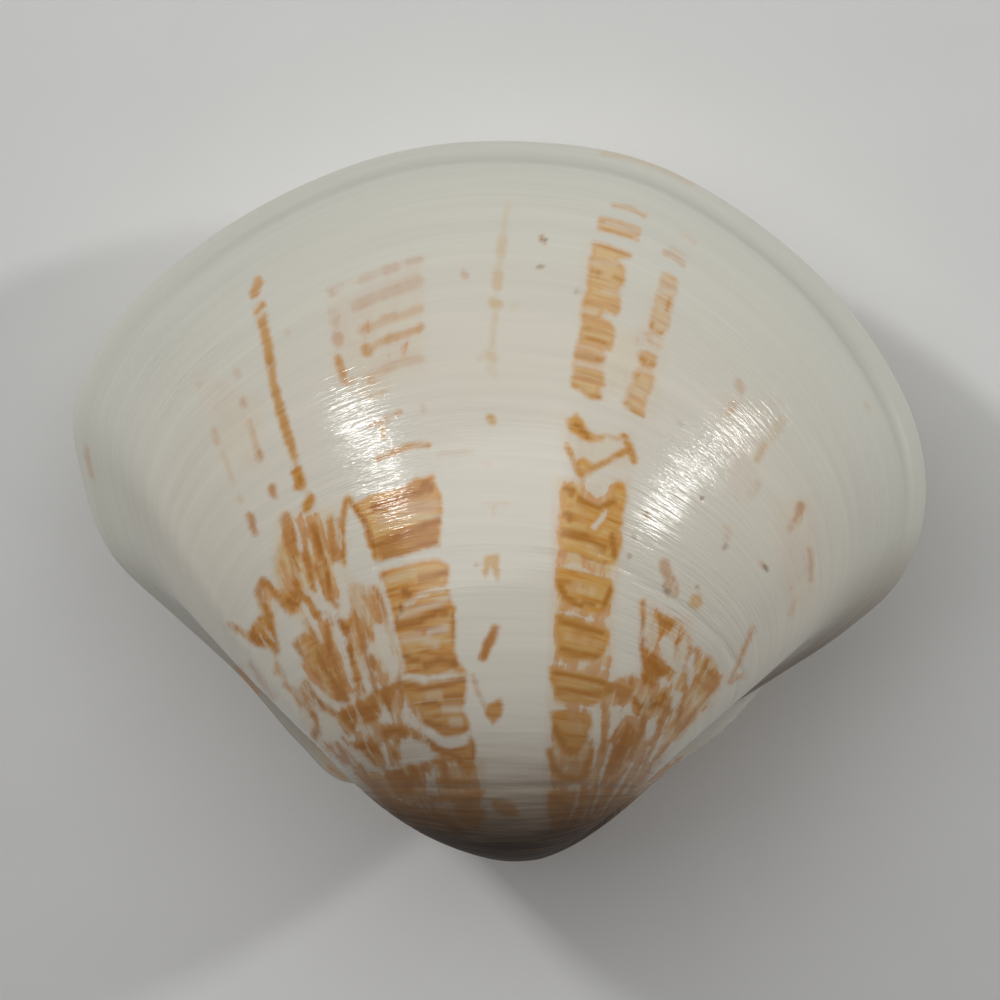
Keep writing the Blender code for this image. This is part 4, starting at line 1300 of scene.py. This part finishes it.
class ShellGraph(Graph):
    """Porcelain-like shell: growth-banded white, soft-edged marks in several browns, fine glossy striae."""

    def __init__(self, name, settings):
        super().__init__(name)
        self.settings = settings
        self.age = self.field("age")
        self.washed = self.field("mark_wash")
        lines = self.field("growth_lines", "Vector")
        for kind, values in NOISES.items():
            setattr(self, kind, self.line_noise(lines, *values))
        self.grain = self.noise(self.place(), Scale=GRAIN_SIZE, Detail=2.0)
        self.aged = self.scaled(self.ramp(self.age, *OLD_MARK_AGES), OLD_MARK_SHARE)
        colour = self.mix(self.film(), self.ground(), self.film_tint())
        cover, tint = self.marks()
        colour = self.mix(cover, colour, tint)
        colour = self.mix(self.scaled(self.field("specks"), SPECK_SHARE), colour, settings.speck_colour)
        self.put(self.stained_and_shaded(colour), self.shader["Base Color"])
        self.put(self.roughness(), self.shader["Roughness"])
        self.bump(self.height(), settings.line_depth)

    def ground(self):
        settings = self.settings
        ground = self.mix(self.ramp(self.age, *MARGIN_AGES), settings.ground_colour, settings.margin_colour)
        tone = self.math("ADD", self.scaled(self.fine, FINE_TONE), self.scaled(self.broad, *BROAD_TONE))
        ground = self.mix(1.0, ground, tone, "MULTIPLY")
        ground = self.mix(self.ramp(self.age, *UMBO_AGES), ground, settings.umbo_colour)
        # Painted shade in the rim groove
        groove = self.scaled(self.field("rim_groove_shade"), GROOVE_SHADE_SHARE)
        ground = self.mix(groove, ground, settings.groove_shade_colour)
        # Brownish band beside the hinge, partly stained and partly painted shade
        uneven = self.scaled(self.broad, *STAIN_AND_SHADE_PATCHES)
        stain_and_shade = self.math("MULTIPLY", self.field("hinge_stain_and_shade"), uneven, clamp=True)
        return self.mix(stain_and_shade, ground, settings.hinge_stain_and_shade_colour)

    def film(self):
        """How much of the thin brown wash lies here: streaks along the rays over an even film."""
        streaky = self.math("ADD", self.scaled(self.rays, FILM_RAYS), self.scaled(self.grain, FILM_GRAIN))
        streaky = self.math("ADD", streaky, self.scaled(self.washed, *FILM_GAIN))
        reach = self.ramp(self.washed, *FILM_REACH)
        streaky = self.math("MULTIPLY", self.ramp(streaky, *FILM_EDGE), reach)
        return self.math("MAXIMUM", self.scaled(streaky, STREAKY_WASH), self.scaled(self.washed, EVEN_WASH))

    def film_tint(self):
        settings = self.settings
        share = self.ramp(self.rays, *FILM_TINT_RAYS)
        tint = self.mix(share, settings.pale_mark_colour, settings.mark_colour)
        return self.mix(self.aged, tint, settings.old_mark_colour)

    def marks(self):
        """How much of a mark lies here, and its colour."""
        settings = self.settings
        hue = self.field("mark_hue")
        netted = self.ramp(hue, *NET_HUES)
        grain = self.scaled(self.grain, *GRAIN_WOBBLE)
        wobble = self.math("ADD", grain, self.scaled(self.bands, *BAND_WOBBLE))
        border = self.math("ADD", self.field("mark_depth"), wobble)
        cover = self.math("MULTIPLY", self.ramp(border, *MARK_BORDER), self.field("mark_strength"))
        cover = self.math("MULTIPLY", cover, self.ramp(self.fine, *COVER_WEAR))
        gap = self.math("MULTIPLY", netted, self.ramp(self.rays, *GAP_RAYS))
        cover = self.math("MULTIPLY", cover, self.scaled(gap, -GAP_SHARE, 1.0))

        broad, fine = BANDED_BY
        banded = self.math("ADD", self.scaled(self.bands, broad), self.scaled(self.fine, fine))
        banded = self.scaled(self.ramp(banded, *BANDED_EDGE), BANDED_SHARE)
        outline = self.scaled(self.ramp(border, *MARK_OUTLINE), OUTLINE_SHARE)
        streak = self.scaled(self.ramp(self.rays, *STREAK_RAYS), STREAK_SHARE)
        streak = self.math("MULTIPLY", netted, streak)
        bar = self.scaled(self.ramp(self.bands, *BAR_BANDS), BAR_SHARE)
        darkness = self.math("MAXIMUM", self.field("mark_darkness"), self.math("MAXIMUM", streak, bar))
        tint = self.math("MAXIMUM", self.math("MAXIMUM", outline, banded), darkness)
        mark = self.mix(tint, settings.pale_mark_colour, settings.mark_colour)
        deep = self.math("MULTIPLY", darkness, self.scaled(self.bands, *DEEP_BANDS), clamp=True)
        mark = self.mix(deep, mark, settings.deep_mark_colour)
        yellow = self.math("MULTIPLY", hue, -YELLOW_SHARE, clamp=True)
        mark = self.mix(yellow, mark, settings.yellow_mark_colour)
        pink = self.math("MULTIPLY", hue, PINK_SHARE, clamp=True)
        mark = self.mix(pink, mark, settings.pink_mark_colour)
        return cover, self.mix(self.aged, mark, settings.old_mark_colour)

    def stained_and_shaded(self, colour):
        """The colour with the brown umbo, the dark ringed beak and the line between the valves over it: the
        umbo brown is partly painted shade, the beak's near-black brown mostly painted shade, and the line
        painted shade in the crack where the valves meet.
        """
        settings = self.settings
        beak = self.math("ADD", self.age, self.scaled(self.long_striae, *BEAK_WOBBLE))
        # Brown tinge round the beaks, partly painted shade near the umbo
        umbo = self.scaled(self.ramp(beak, *UMBO_STAIN_AND_SHADE_AGES), UMBO_STAIN_AND_SHADE_SHARE)
        colour = self.mix(umbo, colour, settings.umbo_stain_and_shade_colour)
        # Painted shade on the beaks, broken by lighter rings, over their brown
        rings = self.ramp(self.fine, *BEAK_RINGS)
        rings = self.mix(rings, settings.beak_colour, settings.shaded_beak_ring_colour)
        colour = self.mix(self.scaled(self.ramp(beak, *BEAK_BROWN_AND_SHADE_AGES), BEAK_BROWN_AND_SHADE_SHARE), colour, rings)
        # Painted shade in the crack where the valves meet
        lip = self.math("MULTIPLY", self.ramp(self.age, *LIP_SHADE_AGES), self.ramp(self.age, *OUTSIDE_AGES))
        return self.mix(self.scaled(lip, LIP_SHADE_SHARE), colour, settings.beak_colour)

    def roughness(self):
        worn = self.scaled(self.ramp(self.age, *WORN_AGES), WORN_ROUGHNESS)
        rim = self.scaled(self.ramp(self.age, *DULL_RIM_AGES), DULL_RIM_ROUGHNESS)
        return self.scaled(self.math("MAXIMUM", worn, rim), 1.0, self.settings.gloss_roughness)

    def height(self):
        striae = self.scaled(self.striae, STRIA_HEIGHT)
        height = self.math("ADD", striae, self.scaled(self.long_striae, LONG_STRIA_HEIGHT))
        height = self.math("MULTIPLY", height, self.field("striated"))
        height = self.math("ADD", height, self.scaled(self.long_striae, PLAIN_STRIA_HEIGHT))
        return self.math("ADD", height, self.scaled(self.field("ridges"), RIDGE_HEIGHT))


def add_object(name, data):
    made = bpy.data.objects.new(name, data)
    bpy.context.scene.collection.objects.link(made)
    return made


def add_piece(name, mesh, material, replaced):
    piece = add_object(name, mesh)
    mesh.materials.append(material)
    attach(piece, "root")
    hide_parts(replaced)


class CLAM_OT_left_valve(bpy.types.Operator):
    """Build the upper, left valve"""

    bl_idname = "clam.left_valve"
    bl_label = "Left Valve"

    def execute(self, context):
        settings = context.scene.clam_shell
        mesh = valve_mesh("left_valve_shell", 1, False, LEFT_SEED, settings.columns, settings.rings)
        material = ShellGraph("left_shell_gloss", settings).material
        add_piece("left_valve_shell", mesh, material, "left_valve")
        return {"FINISHED"}


class CLAM_OT_right_valve(bpy.types.Operator):
    """Build the lower, right valve"""

    bl_idname = "clam.right_valve"
    bl_label = "Right Valve"

    def execute(self, context):
        settings = context.scene.clam_shell
        mesh = valve_mesh("right_valve_shell", -1, True, RIGHT_SEED, settings.columns, settings.rings)
        material = ShellGraph("right_shell_gloss", settings).material
        add_piece("right_valve_shell", mesh, material, "right_valve")
        return {"FINISHED"}


def ligament_points():
    """The cracked, ribbed spindle of the ligament, ring by ring, then its two ends."""
    middle, half_length, axis, side = ligament_axes()
    polar = np.linspace(LIGAMENT_TIP, math.pi - LIGAMENT_TIP, LIGAMENT_RINGS)
    turn = np.linspace(0, 2 * math.pi, LIGAMENT_COLUMNS, endpoint=False)
    chance = np.random.default_rng(LIGAMENT_SEED)
    cracks = np.zeros(LIGAMENT_RINGS)
    for _ in range(CRACKS):
        depth = chance.uniform(*CRACK_DEPTHS)
        cracks -= depth * np.exp(-(((polar - chance.uniform(*CRACK_PLACES)) / CRACK_WIDTH) ** 2))
    plain, wavy = CRACK_ROUND
    ridge = 1 + cracks[:, None] * (plain + wavy * np.cos(3 * turn + 4 * polar[:, None]))
    ridge = ridge * (1 - RIB_DEPTH * (1 + np.cos(RIBS * turn + RIB_WAVE * np.sin(6 * polar[:, None]))))
    radius = np.sin(polar)[:, None] * ridge
    along = -np.cos(polar)[:, None] * half_length + 0 * turn
    across = radius * np.cos(turn) * LIGAMENT_HALF_WIDTH
    up = radius * np.sin(turn) * LIGAMENT_HALF_HEIGHT
    flat = middle + along[..., None] * axis + across[..., None] * side
    grid = np.concatenate([flat, up[..., None]], axis=-1).reshape(-1, 3)
    return np.concatenate([grid, [[*LIGAMENT_BACK, 0.0], [*LIGAMENT_FRONT, 0.0]]])


def ligament_faces(rings, around):
    faces = []
    for i in range(rings - 1):
        for j in range(around):
            k = (j + 1) % around
            faces.append((i * around + j, i * around + k, (i + 1) * around + k, (i + 1) * around + j))
    for j in range(around):
        k = (j + 1) % around
        faces.append((j, rings * around, k))
        faces.append(((rings - 1) * around + k, rings * around + 1, (rings - 1) * around + j))
    return faces


class CLAM_OT_ligament(bpy.types.Operator):
    """Build the horny ligament behind the beaks"""

    bl_idname = "clam.ligament"
    bl_label = "Ligament"

    def execute(self, context):
        faces = ligament_faces(LIGAMENT_RINGS, LIGAMENT_COLUMNS)
        mesh = smooth_mesh("ligament_band", to_row_frame(ligament_points()), faces)
        graph = Graph("ligament_horn")
        fibre = graph.noise(graph.place(), Scale=FIBRE_SIZE, Detail=4.0)
        dark = context.scene.clam_shell.ligament_colour
        colour = graph.mix(graph.ramp(fibre, *FIBRE_EDGE), dark, FIBRE_COLOUR)
        graph.put(colour, graph.shader["Base Color"])
        graph.put(HORN_ROUGHNESS, graph.shader["Roughness"])
        graph.bump(fibre, FIBRE_DEPTH)
        add_piece("ligament_band", mesh, graph.material, "ligament")
        return {"FINISHED"}


def add_softbox(name, direction, distance, size, power):
    light = bpy.data.lights.new(name, "AREA")
    light.shape = "RECTANGLE"
    light.size, light.size_y = size
    light.energy = power
    lamp = add_object(name, light)
    direction = Vector(direction).normalized()
    lamp.location = Vector(LIGHT_TARGET) + direction * distance
    lamp.rotation_euler = direction.to_track_quat("Z", "Y").to_euler()


def add_camera(scene):
    """A long lens at the photograph's viewing angle, with the shell as large as there."""
    right, up, back = camera_axes() @ REST_TURN.T
    beside = (PICTURE_PIXELS / 2 - HINGE_PIXEL[0]) * MM_PER_PIXEL
    above = (HINGE_PIXEL[1] - PICTURE_PIXELS / 2) * MM_PER_PIXEL
    centre = np.array(HINGE_PLACE) + right * beside + up * above
    eye = (centre + back * VIEW_DISTANCE) * MM
    view = bpy.data.cameras.new("photo_camera")
    camera = add_object("photo_camera", view)
    turn = Matrix(np.stack([right, up, back], axis=1).tolist()).to_4x4()
    camera.matrix_world = Matrix.Translation(Vector(eye)) @ turn
    view.sensor_width = SENSOR_WIDTH
    view.lens = SENSOR_WIDTH * VIEW_DISTANCE / (PICTURE_PIXELS * MM_PER_PIXEL)
    view.clip_start, view.clip_end = CLIP
    scene.camera = camera


class CLAM_OT_studio(bpy.types.Operator):
    """Build the pale floor, the soft lights and the camera"""

    bl_idname = "clam.studio"
    bl_label = "Studio"

    def execute(self, context):
        scene = context.scene
        paper = tuple(scene.clam_shell.floor_colour)
        mesh = bpy.data.meshes.new("studio_floor")
        corners = [(x * FLOOR_HALF, y * FLOOR_HALF, 0) for x, y in ((-1, -1), (1, -1), (1, 1), (-1, 1))]
        mesh.from_pydata(corners, [], [(0, 1, 2, 3)])
        floor = add_object("studio_floor", mesh)
        graph = Graph("floor_paper")
        pulp = graph.node("ShaderNodeTexNoise", Scale=PULP_SIZE, Detail=3.0).outputs["Fac"]
        colour = graph.mix(graph.ramp(pulp, *PULP_EDGE), paper, tuple(FLOOR_SHADE * c for c in paper))
        graph.put(colour, graph.shader["Base Color"])
        graph.put(FLOOR_ROUGHNESS, graph.shader["Roughness"])
        mesh.materials.append(graph.material)

        for softbox in SOFTBOXES:
            add_softbox(*softbox)
        world = bpy.data.worlds.new("studio_air")
        world.use_nodes = True
        air = world.node_tree.nodes["Background"].inputs
        air["Color"].default_value = AIR_COLOUR
        air["Strength"].default_value = AIR_STRENGTH
        scene.world = world
        add_camera(scene)
        scene.view_settings.view_transform = "Standard"
        return {"FINISHED"}


class CLAM_PT_panel(bpy.types.Panel):
    bl_idname = "CLAM_PT_panel"
    bl_label = "Clam Shell"
    bl_space_type = "VIEW_3D"
    bl_region_type = "UI"
    bl_category = "Clam Shell"

    def draw(self, context):
        settings = context.scene.clam_shell
        for name in ClamShellSettings.__annotations__:
            self.layout.prop(settings, name)
        for kind in OPERATORS:
            self.layout.operator(kind.bl_idname)


OPERATORS = (CLAM_OT_left_valve, CLAM_OT_right_valve, CLAM_OT_ligament, CLAM_OT_studio)
CLASSES = (ClamShellSettings, *OPERATORS, CLAM_PT_panel)


def register():
    for kind in CLASSES:
        bpy.utils.register_class(kind)
    bpy.types.Scene.clam_shell = PointerProperty(type=ClamShellSettings)


def unregister():
    del bpy.types.Scene.clam_shell
    for kind in reversed(CLASSES):
        bpy.utils.unregister_class(kind)


def main():
    register()
    bpy.ops.clam.left_valve()
    bpy.ops.clam.right_valve()
    bpy.ops.clam.ligament()
    bpy.ops.clam.studio()


if __name__ == "__main__":
    main()
